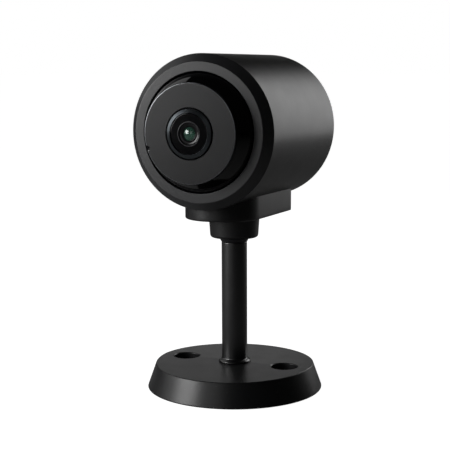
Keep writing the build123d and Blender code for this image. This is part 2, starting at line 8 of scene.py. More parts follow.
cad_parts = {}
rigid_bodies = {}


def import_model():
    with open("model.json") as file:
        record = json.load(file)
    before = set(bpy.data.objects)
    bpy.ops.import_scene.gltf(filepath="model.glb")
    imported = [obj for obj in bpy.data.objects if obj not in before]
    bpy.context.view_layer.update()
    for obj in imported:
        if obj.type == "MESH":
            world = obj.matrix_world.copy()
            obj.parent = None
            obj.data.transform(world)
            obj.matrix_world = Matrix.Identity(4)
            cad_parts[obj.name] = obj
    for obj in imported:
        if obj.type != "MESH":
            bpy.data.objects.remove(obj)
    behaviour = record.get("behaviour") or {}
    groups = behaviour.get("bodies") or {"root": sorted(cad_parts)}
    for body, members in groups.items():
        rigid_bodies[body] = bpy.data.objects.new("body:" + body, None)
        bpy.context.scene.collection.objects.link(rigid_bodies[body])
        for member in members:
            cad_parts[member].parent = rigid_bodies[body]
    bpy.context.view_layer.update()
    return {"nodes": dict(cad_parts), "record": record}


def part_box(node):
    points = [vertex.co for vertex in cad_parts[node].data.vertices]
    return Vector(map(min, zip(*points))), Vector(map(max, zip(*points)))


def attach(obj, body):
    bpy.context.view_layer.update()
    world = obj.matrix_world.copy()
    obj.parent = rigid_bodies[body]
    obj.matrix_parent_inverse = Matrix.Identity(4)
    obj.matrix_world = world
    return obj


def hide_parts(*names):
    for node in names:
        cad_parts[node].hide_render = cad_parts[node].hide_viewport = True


# A small indoor security camera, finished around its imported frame: barrel head, ball joint, pole, round base.

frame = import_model()
nodes = frame["nodes"]
mm = 0.001
print("frame loaded,", len(nodes), "pieces")


def boxOf(node):
    # low and high corners of a node, in mm
    return [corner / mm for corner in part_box(node)]


# The head's axis and every main place come from the frame.
barrelLow, barrelHigh = boxOf("barrel")
axisHeight = (barrelLow.z + barrelHigh.z) / 2
barrelRadius = (barrelHigh.z - barrelLow.z) / 2
alongHead = Matrix.Rotation(-math.pi / 2, 4, "X")  # turns a shape made along Z to point along the head
headPlace = Matrix.Translation((0, 0, axisHeight)) @ alongHead
standPlace = Matrix.Identity(4)


# Camera, lights and floor

cameraSetup = {
    "azimuth": 25.32,  # degrees round from the front
    "elevation": 7.66,
    "roll": -0.25,
    "distance": 357.97,  # mm from the point looked at
    "lookHeight": 53.08,
    "aside": -2.893,  # mm that the point looked at lies to the right of the pole
    "above": -1.477,
    "lens": 91.49,
    "sensor": 36.0,
}

lightSetup = {  # azimuth and elevation from the front, distance, width and height in mm, and brightness
    "frontLeft": (-44, 15, 330, 160, 135, 8.0),
    "sideLeft": (-76, 12, 500, 200, 160, 1.2),
    "backRight": (160, 23, 500, 190, 300, 2.0),
    "lowRight": (158, 2, 480, 210, 80, 1.5),
    "frontFill": (-4, 10, 500, 160, 200, 0.8),
    "backLeft": (-150, 9, 500, 240, 160, 0.36),
    "upperLeft": (-100, 35, 520, 360, 420, 0.40),
}

roomSetup = {
    "seenBrightness": 1.0,  # of the room, as the camera sees it
    "litBrightness": 0.01,  # and as it lights the object
    "floorSize": 60.0,  # m
    "floorTone": 0.30,
    "floorGlow": 1.0,  # seen by the camera alone
}


def put(tree, kind, inputs=None, **settings):
    # adds a node, sets its properties, and links or fills its sockets
    node = tree.nodes.new(kind)
    for key, value in settings.items():
        setattr(node, key, value)
    for key, value in (inputs or {}).items():
        if isinstance(value, bpy.types.NodeSocket):
            tree.links.new(value, node.inputs[key])
        else:
            node.inputs[key].default_value = value
    return node


def link(item):
    bpy.context.scene.collection.objects.link(item)
    return item


def makeCamera(setup):
    azimuth, elevation, roll = (math.radians(setup[key]) for key in ("azimuth", "elevation", "roll"))
    right = Vector((math.cos(azimuth), math.sin(azimuth), 0))
    level = Vector((math.sin(azimuth), -math.cos(azimuth), 0))
    back = level * math.cos(elevation) + Vector((0, 0, math.sin(elevation)))
    up = back.cross(right)
    aim = Vector((0, 0, setup["lookHeight"])) + right * setup["aside"] + up * setup["above"]
    acrossView = right * math.cos(roll) + up * math.sin(roll)
    upView = up * math.cos(roll) - right * math.sin(roll)
    data = bpy.data.cameras.new("camera")
    data.sensor_width = setup["sensor"]
    data.lens = setup["lens"]
    data.clip_start = 0.01
    camera = link(bpy.data.objects.new("camera", data))
    place = Matrix((acrossView, upView, back)).transposed().to_4x4()
    place.translation = (aim + back * setup["distance"]) * mm
    camera.matrix_world = place
    bpy.context.scene.camera = camera


def makeLight(name, azimuth, elevation, distance, width, height, brightness):
    data = bpy.data.lights.new(name, "AREA")
    data.shape = "RECTANGLE"
    data.size = width * mm
    data.size_y = height * mm
    data.energy = brightness * 4 * data.size * data.size_y
    light = link(bpy.data.objects.new(name, data))
    light.visible_camera = False
    turn, rise = math.radians(azimuth), math.radians(elevation)
    towards = Vector((math.sin(turn) * math.cos(rise), -math.cos(turn) * math.cos(rise), math.sin(rise)))
    light.location = (Vector((0, 0, cameraSetup["lookHeight"])) + towards * distance) * mm
    light.rotation_euler = towards.to_track_quat("Z", "Y").to_euler()


def seenByCamera(tree, strength):
    # a strength that only rays from the camera meet
    rays = put(tree, "ShaderNodeLightPath").outputs["Is Camera Ray"]
    return put(tree, "ShaderNodeMath", {0: rays, 1: strength}, operation="MULTIPLY").outputs[0]


def makeRoom(setup):
    # a pale floor in a white room; the room lights the object less than it looks
    world = bpy.data.worlds.new("room")
    world.use_nodes = True
    tree = world.node_tree
    seen = seenByCamera(tree, setup["seenBrightness"] - setup["litBrightness"])
    level = put(tree, "ShaderNodeMath", {0: seen, 1: setup["litBrightness"]})
    background = tree.nodes["Background"]
    tree.links.new(level.outputs[0], background.inputs["Strength"])
    background.inputs["Color"].default_value = (1, 1, 1, 1)
    bpy.context.scene.world = world
    half = setup["floorSize"] / 2
    corners = [(-half, -half, 0), (half, -half, 0), (half, half, 0), (-half, half, 0)]
    mesh = bpy.data.meshes.new("floor")
    mesh.from_pydata(corners, [], [(0, 1, 2, 3)])
    floor = link(bpy.data.objects.new("floor", mesh))
    material = bpy.data.materials.new("paleFloor")
    material.use_nodes = True
    tree = material.node_tree
    shader = tree.nodes["Principled BSDF"]
    shader.inputs["Base Color"].default_value = (*[setup["floorTone"]] * 3, 1)
    shader.inputs["Roughness"].default_value = 0.9
    shader.inputs["Emission Color"].default_value = (1, 1, 1, 1)
    tree.links.new(seenByCamera(tree, setup["floorGlow"]), shader.inputs["Emission Strength"])
    mesh.materials.append(material)


makeCamera(cameraSetup)
for lightName, setup in lightSetup.items():
    makeLight(lightName, *setup)
makeRoom(roomSetup)
bpy.context.scene.view_settings.view_transform = "Standard"
print("camera, lights and floor ready")


# Finishes

mottle = {"cloudSize": 14.0, "smudgeSize": 6.0, "speckSize": 0.9, "dustTone": (0.45, 0.44, 0.42, 1)}  # mm

finishLooks = {  # tone, roughness, depth of grain, its size in mm, and what else sets the finish apart
    "satinShell": ((0.004, 0.004, 0.0045), 0.38, 0.10, 0.16, {"dust": 0.02}),
    "bezelGrey": ((0.016, 0.0163, 0.0175), 0.40, 0.08, 0.14, {"dust": 0.02}),
    "plateGrey": ((0.007, 0.0071, 0.008), 0.38, 0.06, 0.10, {"specular": 0.3}),
    "baseTop": ((0.006, 0.0061, 0.0066), 0.36, 0.12, 0.18, {"dust": 0.04}),
    "rearTexture": ((0.0075, 0.0075, 0.0082), 0.50, 0.22, 0.25, {"dust": 0.03}),
    "glossWindow": ((0.0006, 0.0006, 0.0009), 0.05, 0.01, 1.5, {"spread": 0.02, "vary": 0.2}),
    "polePaint": ((0.002, 0.002, 0.0023), 0.31, 0.10, 0.20,
        {"specular": 0.85, "coat": 0.1, "coatRoughness": 0.3}),
    "blackSteel": ((0.035, 0.035, 0.038), 0.38, 0.06, 0.08, {"metallic": 0.8}),
    "platedSteel": ((0.46, 0.46, 0.45), 0.34, 0.12, 0.12, {"metallic": 1.0, "vary": 0.12}),
    "blackScrew": ((0.03, 0.03, 0.032), 0.36, 0.10, 0.06, {"metallic": 0.6}),
    "blackRubber": ((0.012, 0.012, 0.012), 0.82, 0.35, 0.30, {"dust": 0.10}),
    "linerPlastic": ((0.62, 0.61, 0.57), 0.50, 0.05, 0.30, {}),
    "lensBlack": ((0.0015, 0.0015, 0.002), 0.12, 0.04, 0.05, {}),
    "mouthBlack": ((0.0015, 0.0015, 0.0017), 0.24, 0.03, 0.05, {"specular": 0.3}),
    "lipGrey": ((0.030, 0.030, 0.033), 0.30, 0.03, 0.05, {}),
    "cutEdge": ((0.16, 0.165, 0.175), 0.30, 0.02, 0.05, {"metallic": 1.0}),
    "ringAnodised": ((0.044, 0.049, 0.053), 0.32, 0.03, 0.05, {"metallic": 1.0}),
    "innerPlastic": ((0.020, 0.020, 0.022), 0.50, 0.10, 0.30, {}),
    "coilCopper": ((0.62, 0.26, 0.10), 0.35, 0.50, 0.12, {"metallic": 1.0}),
    "chipEpoxy": ((0.030, 0.030, 0.033), 0.55, 0.20, 0.10, {}),
    "gapPad": ((0.36, 0.46, 0.60), 0.70, 0.20, 0.40, {}),
    "sinkMetal": ((0.72, 0.73, 0.75), 0.38, 0.15, 0.15, {"metallic": 1.0}),
    "amberFilm": ((0.42, 0.20, 0.04), 0.35, 0.08, 0.20, {"coat": 0.3}),
    "ivoryPlastic": ((0.74, 0.71, 0.60), 0.45, 0.05, 0.20, {}),
    "cardPlastic": ((0.020, 0.020, 0.022), 0.38, 0.08, 0.08, {}),
    "goldPads": ((0.83, 0.60, 0.25), 0.25, 0.05, 0.05, {"metallic": 1.0}),
    "smokedPipe": ((0.10, 0.10, 0.11), 0.15, 0.02, 0.30, {"coat": 0.6}),
    "speakerPaper": ((0.035, 0.034, 0.033), 0.80, 0.50, 0.40, {}),
}


def startFinish(name):
    material = bpy.data.materials.new(name)
    material.use_nodes = True
    tree = material.node_tree
    place = put(tree, "ShaderNodeTexCoord").outputs["Object"]
    return material, tree, tree.nodes["Principled BSDF"], place


def noiseAt(tree, place, size, detail=2.0):
    # noise whose blotches are about size mm across
    values = {"Vector": place, "Scale": 1 / (size * mm), "Detail": detail}
    return put(tree, "ShaderNodeTexNoise", values).outputs[0]


def blendTones(tree, amount, dark, light, low=0.35, high=0.65):
    ramp = put(tree, "ShaderNodeValToRGB", {"Fac": amount})
    for element, position, tone in zip(ramp.color_ramp.elements, (low, high), (dark, light)):
        element.position = position
        element.color = (*tone, 1)
    return ramp.outputs["Color"]


def between(tree, amount, low, high, fromLow=0.3, fromHigh=0.7):
    values = {"Value": amount, "From Min": fromLow, "From Max": fromHigh, "To Min": low, "To Max": high}
    return put(tree, "ShaderNodeMapRange", values).outputs["Result"]


def addBumps(tree, shader, height, strength, distance):
    # bumps of a strength and a depth in mm
    values = {"Height": height, "Strength": strength, "Distance": distance * mm}
    tree.links.new(put(tree, "ShaderNodeBump", values).outputs["Normal"], shader.inputs["Normal"])


def shade(tone, factor):
    return tuple(min(1.0, channel * factor) for channel in tone)


def surfaceFinish(name, tone, roughness, grain, grainSize, extras):
    # common finish: mottled tone, uneven gloss, fine grain, and fine dust that catches the light
    material, tree, shader, place = startFinish(name)
    vary = extras.get("vary", 0.08)
    cloud = noiseAt(tree, place, mottle["cloudSize"], 4.0)
    base = blendTones(tree, cloud, shade(tone, 1 - vary), shade(tone, 1 + vary))
    if "dust" in extras:
        specks = noiseAt(tree, place, mottle["speckSize"], 1.0)
        amount = between(tree, specks, 0.0, extras["dust"], 0.70, 0.80)
        colours = {"Fac": amount, "Color1": base, "Color2": mottle["dustTone"]}
        base = put(tree, "ShaderNodeMixRGB", colours).outputs["Color"]
    tree.links.new(base, shader.inputs["Base Color"])
    smudge = noiseAt(tree, place, mottle["smudgeSize"], 3.0)
    spread = extras.get("spread", 0.015)
    gloss = between(tree, smudge, roughness - spread, roughness + spread)
    tree.links.new(gloss, shader.inputs["Roughness"])
    addBumps(tree, shader, noiseAt(tree, place, grainSize), grain, grainSize * 0.3)
    shader.inputs["Metallic"].default_value = extras.get("metallic", 0.0)
    shader.inputs["Specular IOR Level"].default_value = extras.get("specular", 0.5)
    shader.inputs["Coat Weight"].default_value = extras.get("coat", 0.0)
    shader.inputs["Coat Roughness"].default_value = extras.get("coatRoughness", 0.1)
    return material


def boardMask():
    # solder mask over copper tracks that run along and across
    material, tree, shader, place = startFinish("boardMask")
    trackPitch, bumpDepth = 3.2, 0.03
    tracks = put(tree, "ShaderNodeTexBrick", {
        "Vector": place, "Scale": 1 / (trackPitch * mm), "Mortar Size": 0.03,
        "Color1": (0.010, 0.085, 0.040, 1), "Color2": (0.014, 0.105, 0.050, 1),
        "Mortar": (0.035, 0.19, 0.09, 1),
    })
    tree.links.new(tracks.outputs["Color"], shader.inputs["Base Color"])
    tree.links.new(between(tree, noiseAt(tree, place, 4.0), 0.25, 0.38), shader.inputs["Roughness"])
    addBumps(tree, shader, tracks.outputs["Fac"], 0.3, bumpDepth)
    shader.inputs["Coat Weight"].default_value = 0.3
    return material


def turnGrooves(material):
    # fine grooves round a piece that was turned on a lathe, which stretch its highlights
    tree = material.node_tree
    shader = tree.nodes["Principled BSDF"]
    shader.inputs["Anisotropic"].default_value = 0.8
    shader.inputs["Anisotropic Rotation"].default_value = 0.25
    tangent = put(tree, "ShaderNodeTangent", direction_type="UV_MAP", uv_map="turned")
    tree.links.new(tangent.outputs["Tangent"], shader.inputs["Tangent"])


def coatedGlass():
    # lens glass whose coating gives a green cast
    material, tree, shader, place = startFinish("coatedGlass")
    rim = put(tree, "ShaderNodeLayerWeight", {"Blend": 0.35})
    tone = blendTones(tree, rim.outputs["Facing"], (0.16, 0.42, 0.30), (0.03, 0.14, 0.09), 0.0, 0.9)
    tree.links.new(tone, shader.inputs["Base Color"])
    tree.links.new(between(tree, noiseAt(tree, place, 2.0), 0.06, 0.09), shader.inputs["Roughness"])
    shader.inputs["Transmission Weight"].default_value = 0.85
    shader.inputs["IOR"].default_value = 1.6
    shader.inputs["Coat Weight"].default_value = 0.25
    shader.inputs["Coat Roughness"].default_value = 0.08
    shader.inputs["Coat Tint"].default_value = (0.75, 1.0, 0.88, 1)
    return material


def clearResin():
    material, tree, shader, place = startFinish("clearResin")
    tone = blendTones(tree, noiseAt(tree, place, 1.2), (0.42, 0.44, 0.52), (0.62, 0.64, 0.70))
    tree.links.new(tone, shader.inputs["Base Color"])
    tree.links.new(between(tree, noiseAt(tree, place, 0.8), 0.05, 0.12), shader.inputs["Roughness"])
    shader.inputs["Coat Weight"].default_value = 0.6
    return material


finishes = {name: surfaceFinish(name, *look) for name, look in finishLooks.items()}
turnGrooves(finishes["ringAnodised"])
finishes["boardMask"] = boardMask()
finishes["coatedGlass"] = coatedGlass()
finishes["clearResin"] = clearResin()
print("finishes ready:", len(finishes))

slotFinish = {  # the record's slots and the finish that each one shows
    "shell_black": "satinShell", "bezel_grey": "bezelGrey", "plate_grey": "plateGrey",
    "base_grey": "baseTop", "cover_black": "rearTexture", "window_dark": "glossWindow",
    "pole_black": "polePaint", "ball_black": "blackSteel", "steel_plain": "platedSteel",
    "rubber_black": "blackRubber", "liner_white": "linerPlastic", "ring_metal": "ringAnodised",
    "lens_black": "lensBlack", "lens_glass": "coatedGlass", "inner_black": "innerPlastic",
    "coil_copper": "coilCopper", "board_green": "boardMask", "chip_black": "chipEpoxy",
    "pad_blue": "gapPad", "sink_metal": "sinkMetal", "lamp_clear": "clearResin",
    "flex_amber": "amberFilm", "connector_ivory": "ivoryPlastic", "card_black": "cardPlastic",
    "speaker_black": "speakerPaper",
}
nodeSlot = {part["node"]: part["material_slot"] for part in frame["record"]["subparts"]}
for nodeName, node in nodes.items():
    node.data.materials.clear()
    node.data.materials.append(finishes[slotFinish[nodeSlot[nodeName]]])


# Mesh tools

def roundedOutline(points, closed=True, segments=5, hold=0.05):
    # corners (radius, along, corner radius) in mm become arcs, each held by a near point on either side
    outline = []
    for index, (radius, along, corner) in enumerate(points):
        here = Vector((radius, along))
        before = Vector(points[index - 1][:2]) - here
        after = Vector(points[(index + 1) % len(points)][:2]) - here
        if corner == 0 or (not closed and index in (0, len(points) - 1)):
            outline.append(here)
            continue
        half = before.angle(after) / 2
        reach = min(corner / math.tan(half), before.length * 0.45, after.length * 0.45)
        arcRadius = reach * math.tan(half)
        centre = here + (before.normalized() + after.normalized()).normalized() * (arcRadius / math.sin(half))
        first = here + before.normalized() * reach - centre
        last = here + after.normalized() * reach - centre
        start = math.atan2(first.y, first.x)
        sweep = (math.atan2(last.y, last.x) - start + math.pi) % (2 * math.pi) - math.pi
        if before.length * 0.45 > reach + hold:
            outline.append(here + before.normalized() * (reach + hold))
        for step in range(segments + 1):
            angle = start + sweep * step / segments
            outline.append(centre + Vector((math.cos(angle), math.sin(angle))) * arcRadius)
        if after.length * 0.45 > reach + hold:
            outline.append(here + after.normalized() * (reach + hold))
    return outline


def loftMesh(name, rings, closed=True):
    # skin through rings of points in mm; a ring of one point is a pole. The UV map runs round and along.
    bm = bmesh.new()
    uvLayer = bm.loops.layers.uv.new("turned")
    made = [[bm.verts.new(point * mm) for point in ring] for ring in rings]
    count = max(len(ring) for ring in made)
    pairs = list(zip(made, made[1:]))
    if closed:
        pairs.append((made[-1], made[0]))
    for row, (ring, following) in enumerate(pairs):
        if len(ring) == 1 and len(following) == 1:
            continue
        for step in range(count):
            spots = [(ring, step, row), (ring, step + 1, row), (following, step + 1, row + 1),
                (following, step, row + 1)]
            corners = []
            for target, across, along in spots:
                vert = target[across % len(target)]
                if vert not in [corner[0] for corner in corners]:
                    corners.append((vert, (across / count, along / len(made))))
            face = bm.faces.new([corner[0] for corner in corners])
            for loop, (vert, uv) in zip(face.loops, corners):
                loop[uvLayer].uv = uv
    bmesh.ops.recalc_face_normals(bm, faces=bm.faces)
    mesh = bpy.data.meshes.new(name)
    bm.to_mesh(mesh)
    bm.free()
    return mesh


def turnedMesh(name, points, place, steps=192, closed=True, segments=5):
    # a turned piece from its outline (radius, along, corner radius)
    angles = [2 * math.pi * step / steps for step in range(steps)]
    rings = []
    for spot in roundedOutline(points, closed, segments):
        if spot.x < 1e-6:
            rings.append([place @ Vector((0, 0, spot.y))])
            continue
        turned = [(spot.x * math.cos(a), spot.x * math.sin(a), spot.y) for a in angles]
        rings.append([place @ Vector(point) for point in turned])
    return loftMesh(name, rings, closed)


def arcPoints(centre, radius, firstAngle, lastAngle, steps):
    # points on a circle in the outline's plane, angles from the radial direction, with square corners
    angles = [math.radians(firstAngle + (lastAngle - firstAngle) * step / steps) for step in range(steps + 1)]
    return [(radius * math.cos(a), centre + radius * math.sin(a), 0) for a in angles]


def finishPiece(name, mesh, finish, body, slot, *replaced, sharpAngle=35):
    piece = link(bpy.data.objects.new(name, mesh)) if isinstance(mesh, bpy.types.Mesh) else mesh
    piece.name = name
    data = piece.data
    data.polygons.foreach_set("use_smooth", [True] * len(data.polygons))
    data.set_sharp_from_angle(angle=math.radians(sharpAngle))
    data.materials.clear()
    data.materials.append(finishes[finish])
    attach(piece, body)
    if replaced:
        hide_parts(*replaced)
    return piece


def paintFaces(piece, finish, innerRadius, outerRadius, deepest):
    # gives the faces between two radii of the head, no deeper than a place along it, a second finish
    piece.data.materials.append(finishes[finish])
    for face in piece.data.polygons:
        across = Vector((face.center.x, face.center.z - axisHeight * mm)).length / mm
        if innerRadius < across < outerRadius and face.center.y / mm < deepest and face.normal.y < -0.2:
            face.material_index = len(piece.data.materials) - 1


def startTree(name, inputs):
    # a geometry tree with one socket for each named input
    tree = bpy.data.node_groups.new(name, "GeometryNodeTree")
    kinds = {int: "NodeSocketInt", float: "NodeSocketFloat"}
    tree.interface.new_socket("Geometry", in_out="INPUT", socket_type="NodeSocketGeometry")
    tree.interface.new_socket("Geometry", in_out="OUTPUT", socket_type="NodeSocketGeometry")
    for label, value in inputs.items():
        fallback = "NodeSocketMaterial" if isinstance(value, bpy.types.Material) else "NodeSocketObject"
        kind = kinds.get(type(value), fallback)
        tree.interface.new_socket(label, in_out="INPUT", socket_type=kind)
    return tree, put(tree, "NodeGroupInput").outputs


def shapeOf(tree, socket):
    return put(tree, "GeometryNodeObjectInfo", {"Object": socket}).outputs["Geometry"]

def endTree(tree, geometry, material):
    realized = put(tree, "GeometryNodeRealizeInstances", {"Geometry": geometry})
    painted = put(tree, "GeometryNodeSetMaterial",
        {"Geometry": realized.outputs[0], "Material": material})
    put(tree, "NodeGroupOutput", {"Geometry": painted.outputs[0]})


def growMesh(name, tree, base, values):
    # runs a tree once on a base mesh, and keeps the result as a plain mesh
    holder = link(bpy.data.objects.new(name, base))
    modifier = holder.modifiers.new(name, "NODES")
    modifier.node_group = tree
    for item in tree.interface.items_tree:
        if item.in_out == "INPUT" and item.name in values:
            modifier[item.identifier] = values[item.name]
    mesh = bpy.data.meshes.new_from_object(holder.evaluated_get(bpy.context.evaluated_depsgraph_get()))
    holder.modifiers.remove(modifier)
    holder.data = mesh
    return holder


def toolObject(name, mesh):
    # a shape that a tree copies or cuts with; it is removed once the piece is made
    return link(bpy.data.objects.new(name, mesh))


def dropTools(*tools):
    for tool in tools:
        bpy.data.objects.remove(tool)


def pointCloud(name, points):
    mesh = bpy.data.meshes.new(name)
    mesh.from_pydata([Vector(point) * mm for point in points], [], [])
    return mesh


def drillTree(name):
    # cuts a copy of the tool out of the piece at every point of the Places object
    tree, given = startTree(name, {"Places": bpy.data.objects[0], "Tool": bpy.data.objects[0],
        "Finish": finishes["baseTop"]})
    places = shapeOf(tree, given["Places"])
    tool = shapeOf(tree, given["Tool"])
    copies = put(tree, "GeometryNodeInstanceOnPoints", {"Points": places, "Instance": tool})
    cutters = put(tree, "GeometryNodeRealizeInstances", {"Geometry": copies.outputs[0]})
    drilled = put(tree, "GeometryNodeMeshBoolean", operation="DIFFERENCE", solver="EXACT")
    tree.links.new(given["Geometry"], drilled.inputs["Mesh 1"])
    tree.links.new(cutters.outputs[0], drilled.inputs["Mesh 2"])
    endTree(tree, drilled.outputs["Mesh"], given["Finish"])
    return tree


drills = drillTree("drilledHoles")


def drill(name, base, toolMesh, places, finish):
    spots = toolObject("drillPlaces", pointCloud("drillPlaces", places))
    tool = toolObject("drillTool", toolMesh)
    holder = growMesh(name, drills, base, {"Places": spots, "Tool": tool, "Finish": finishes[finish]})
    dropTools(spots, tool)
    return holder


# Base

baseSizes = {
    "topRadius": 25.0, "edgeHeight": 7.6, "wall": 2.2, "roof": 5.6, "edgeRound": 0.35, "footRound": 0.3,
    "wellOffset": 17.0, "wellRadius": 4.15, "wellFloor": 4.2, "holeRadius": 2.2, "postRadius": 6.0,
    "bossRadius": 7.0, "bossBottom": 3.8, "poleSeat": 5.0, "poleSocket": 3.55, "screwSocket": 1.9,
}


def makeBaseCover(topRadius, edgeHeight, wall, roof, edgeRound, footRound, wellOffset, wellRadius,
        wellFloor, holeRadius, postRadius, bossRadius, bossBottom, poleSeat, poleSocket, screwSocket):
    # a cone whose top is two planes that fall away from a ridge through both screw wells
    low, high = boxOf("base_cover")
    ridge, foot, bottom = high.z, high.x, low.z
    fall = (ridge - edgeHeight) / topRadius
    lean = (foot - topRadius) / (edgeHeight - bottom)
    roofRadius = foot - wall - lean * (roof - bottom)
    steps = 256
    columns = []
    for step in range(steps):
        angle = 2 * math.pi * step / steps
        slope = fall * abs(math.sin(angle))
        rimRadius = (foot - lean * (ridge - bottom)) / (1 - lean * slope)
        rimHeight = ridge - slope * rimRadius
        stations = (poleSocket, 8.0, 14.0, 20.0, 23.5)
        tops = [(radius, ridge - slope * radius, 0) for radius in stations]
        outline = tops + [
            (rimRadius, rimHeight, edgeRound), (foot, bottom, footRound), (foot - wall, bottom, 0.15),
            (roofRadius, roof, 0.3), (bossRadius, roof, 0.2), (bossRadius, bossBottom, 0.1),
            (screwSocket, bossBottom, 0), (screwSocket, poleSeat, 0), (poleSocket, poleSeat, 0),
        ]
        turned = [(p.x * math.cos(angle), p.x * math.sin(angle), p.y) for p in roundedOutline(outline)]
        columns.append([Vector(point) for point in turned])
    shell = loftMesh("baseShell", [list(ring) for ring in zip(*columns)])
    posts = []
    for side in (-1, 1):
        place = Matrix.Translation((side * wellOffset, 0, 0))
        outline = [(0, 1.2, 0), (postRadius, 1.2, 0.1),
            (postRadius, roof + 0.6, 0), (0, roof + 0.6, 0)]
        posts.append(toolObject("wellPost", turnedMesh("wellPost", outline, place, 96, False)))
    holder = toolObject("baseShell", shell)
    for post in posts:
        joiner = holder.modifiers.new("post", "BOOLEAN")
        joiner.operation = "UNION"
        joiner.object = post
    solid = bpy.data.meshes.new_from_object(holder.evaluated_get(bpy.context.evaluated_depsgraph_get()))
    dropTools(holder, *posts)
    flare, above = 0.3, ridge + 2
    well = [
        (0, -1, 0), (holeRadius, -1, 0), (holeRadius, wellFloor, 0.1), (wellRadius, wellFloor, 0.15),
        (wellRadius, ridge - flare, 0.3), (wellRadius + flare, ridge, 0),
        (wellRadius + flare, above, 0), (0, above, 0),
    ]
    places = [(side * wellOffset, 0, 0) for side in (-1, 1)]
    holder = drill("base_cover_finished", solid, turnedMesh("well", well, standPlace, 96, False),
        places, "baseTop")
    return finishPiece("baseCover", holder, "baseTop", "stand", "base_grey", "base_cover")


def makeBasePad(sizes):
    # rubber pad with shallow rings underneath
    low, high = boxOf("base_pad")
    radius, top = high.x, high.z
    ringPitch, ringDepth, ringWidth = 2.4, 0.35, 0.9
    outline = [(0, top, 0), (radius, top, 0.1), (radius, 0, 0.2)]
    spot = radius - 1.8
    while spot > 2.5:
        outline += [(spot, 0, 0.08), (spot, ringDepth, 0.08), (spot - ringWidth, ringDepth, 0.08),
            (spot - ringWidth, 0, 0.08)]
        spot -= ringPitch
    outline.append((0, 0, 0))
    pad = turnedMesh("padDisc", outline, standPlace, 160, False, 2)
    hole = [(0, -1, 0), (sizes["holeRadius"], -1, 0), (sizes["holeRadius"], 3, 0), (0, 3, 0)]
    places = [(side * sizes["wellOffset"], 0, 0) for side in (-1, 1)]
    holder = drill("basePad", pad, turnedMesh("padHole", hole, standPlace, 64, False), places,
        "blackRubber")
    return finishPiece("basePad", holder, "blackRubber", "stand", "rubber_black", "base_pad")


makeBaseCover(**baseSizes)
makeBasePad(baseSizes)
print("base finished")


# Pole and ball joint

poleSizes = {"radius": 4.0, "spigot": 3.5, "bore": 2.5, "boreBottom": 38.0, "bead": 5.05}
ballSizes = {"radius": 4.77, "height": 49.0, "shank": 2.47, "shankBottom": 38.4}
cupSizes = {
    "lipRadius": 7.5, "rimRadius": 7.95, "rimHeight": 54.5, "neckRadius": 7.3, "spigot": 6.2,
    "socket": 5.63, "bore": 3.0, "boreTop": 56.2, "lipRound": 0.9,
}


def makePole(radius, spigot, bore, boreBottom, bead):
    low, high = boxOf("pole")
    foot = boxOf("base_cover")[1].z
    top = high.z
    outline = [
        (0, low.z, 0), (spigot, low.z, 0.2), (spigot, foot, 0), (bead - 0.1, foot, 0),
        (bead, foot + 0.32, 0.3), (bead - 0.45, foot + 0.78, 0.4), (radius, foot + 1.1, 0.9),
        (radius, foot + 6, 0), (radius, 26, 0), (radius, top - 6, 0), (radius, top, 0.25),
        (bore, top, 0.1), (bore, boreBottom, 0), (0, boreBottom, 0),
    ]
    return finishPiece("pole", turnedMesh("pole", outline, standPlace, 160, False), "polePaint",
        "stand", "pole_black", "pole")


def makeBall(radius, height, shank, shankBottom):
    top = boxOf("pole")[1].z
    start = -math.degrees(math.asin((height - top) / radius))
    ball = arcPoints(height, radius, start, 90, 40)
    ball[-1] = (0, height + radius, 0)
    outline = [(0, shankBottom, 0), (shank, shankBottom, 0.3),
        (shank, top, 0)] + ball
    return finishPiece("ballStud", turnedMesh("ballStud", outline, standPlace, 160, False),
        "blackSteel", "ball", "ball_black", "ball_stud")


def makeCup(lipRadius, rimRadius, rimHeight, neckRadius, spigot, socket, bore, boreTop, lipRound):
    low, high = boxOf("socket_cup")
    centre = ballSizes["height"]
    lipAngle = math.degrees(math.asin((low.z - centre) / socket))
    boreAngle = math.degrees(math.acos(bore / socket))
    bowl = arcPoints(centre, socket, lipAngle, boreAngle, 24)
    saddleBottom = boxOf("saddle")[0].z
    outline = [(0, boreTop, 0), (bore, boreTop, 0)] + bowl[::-1] + [
        (lipRadius, low.z, lipRound), (rimRadius, rimHeight, 0.2), (neckRadius, rimHeight, 0),
        (neckRadius, saddleBottom, 0), (spigot, saddleBottom, 0), (spigot, high.z, 0.3), (0, high.z, 0),
    ]
    return finishPiece("socketCup", turnedMesh("socketCup", outline, standPlace, 160, False),
        "satinShell", "head", "shell_black", "socket_cup")


makePole(**poleSizes)
makeBall(**ballSizes)
makeCup(**cupSizes)
print("pole and ball joint finished")


# Saddle

saddleSizes = {"backRound": 0.7, "footRound": 0.45, "noseSteps": 72, "sideSteps": 10, "cupHole": 6.25}


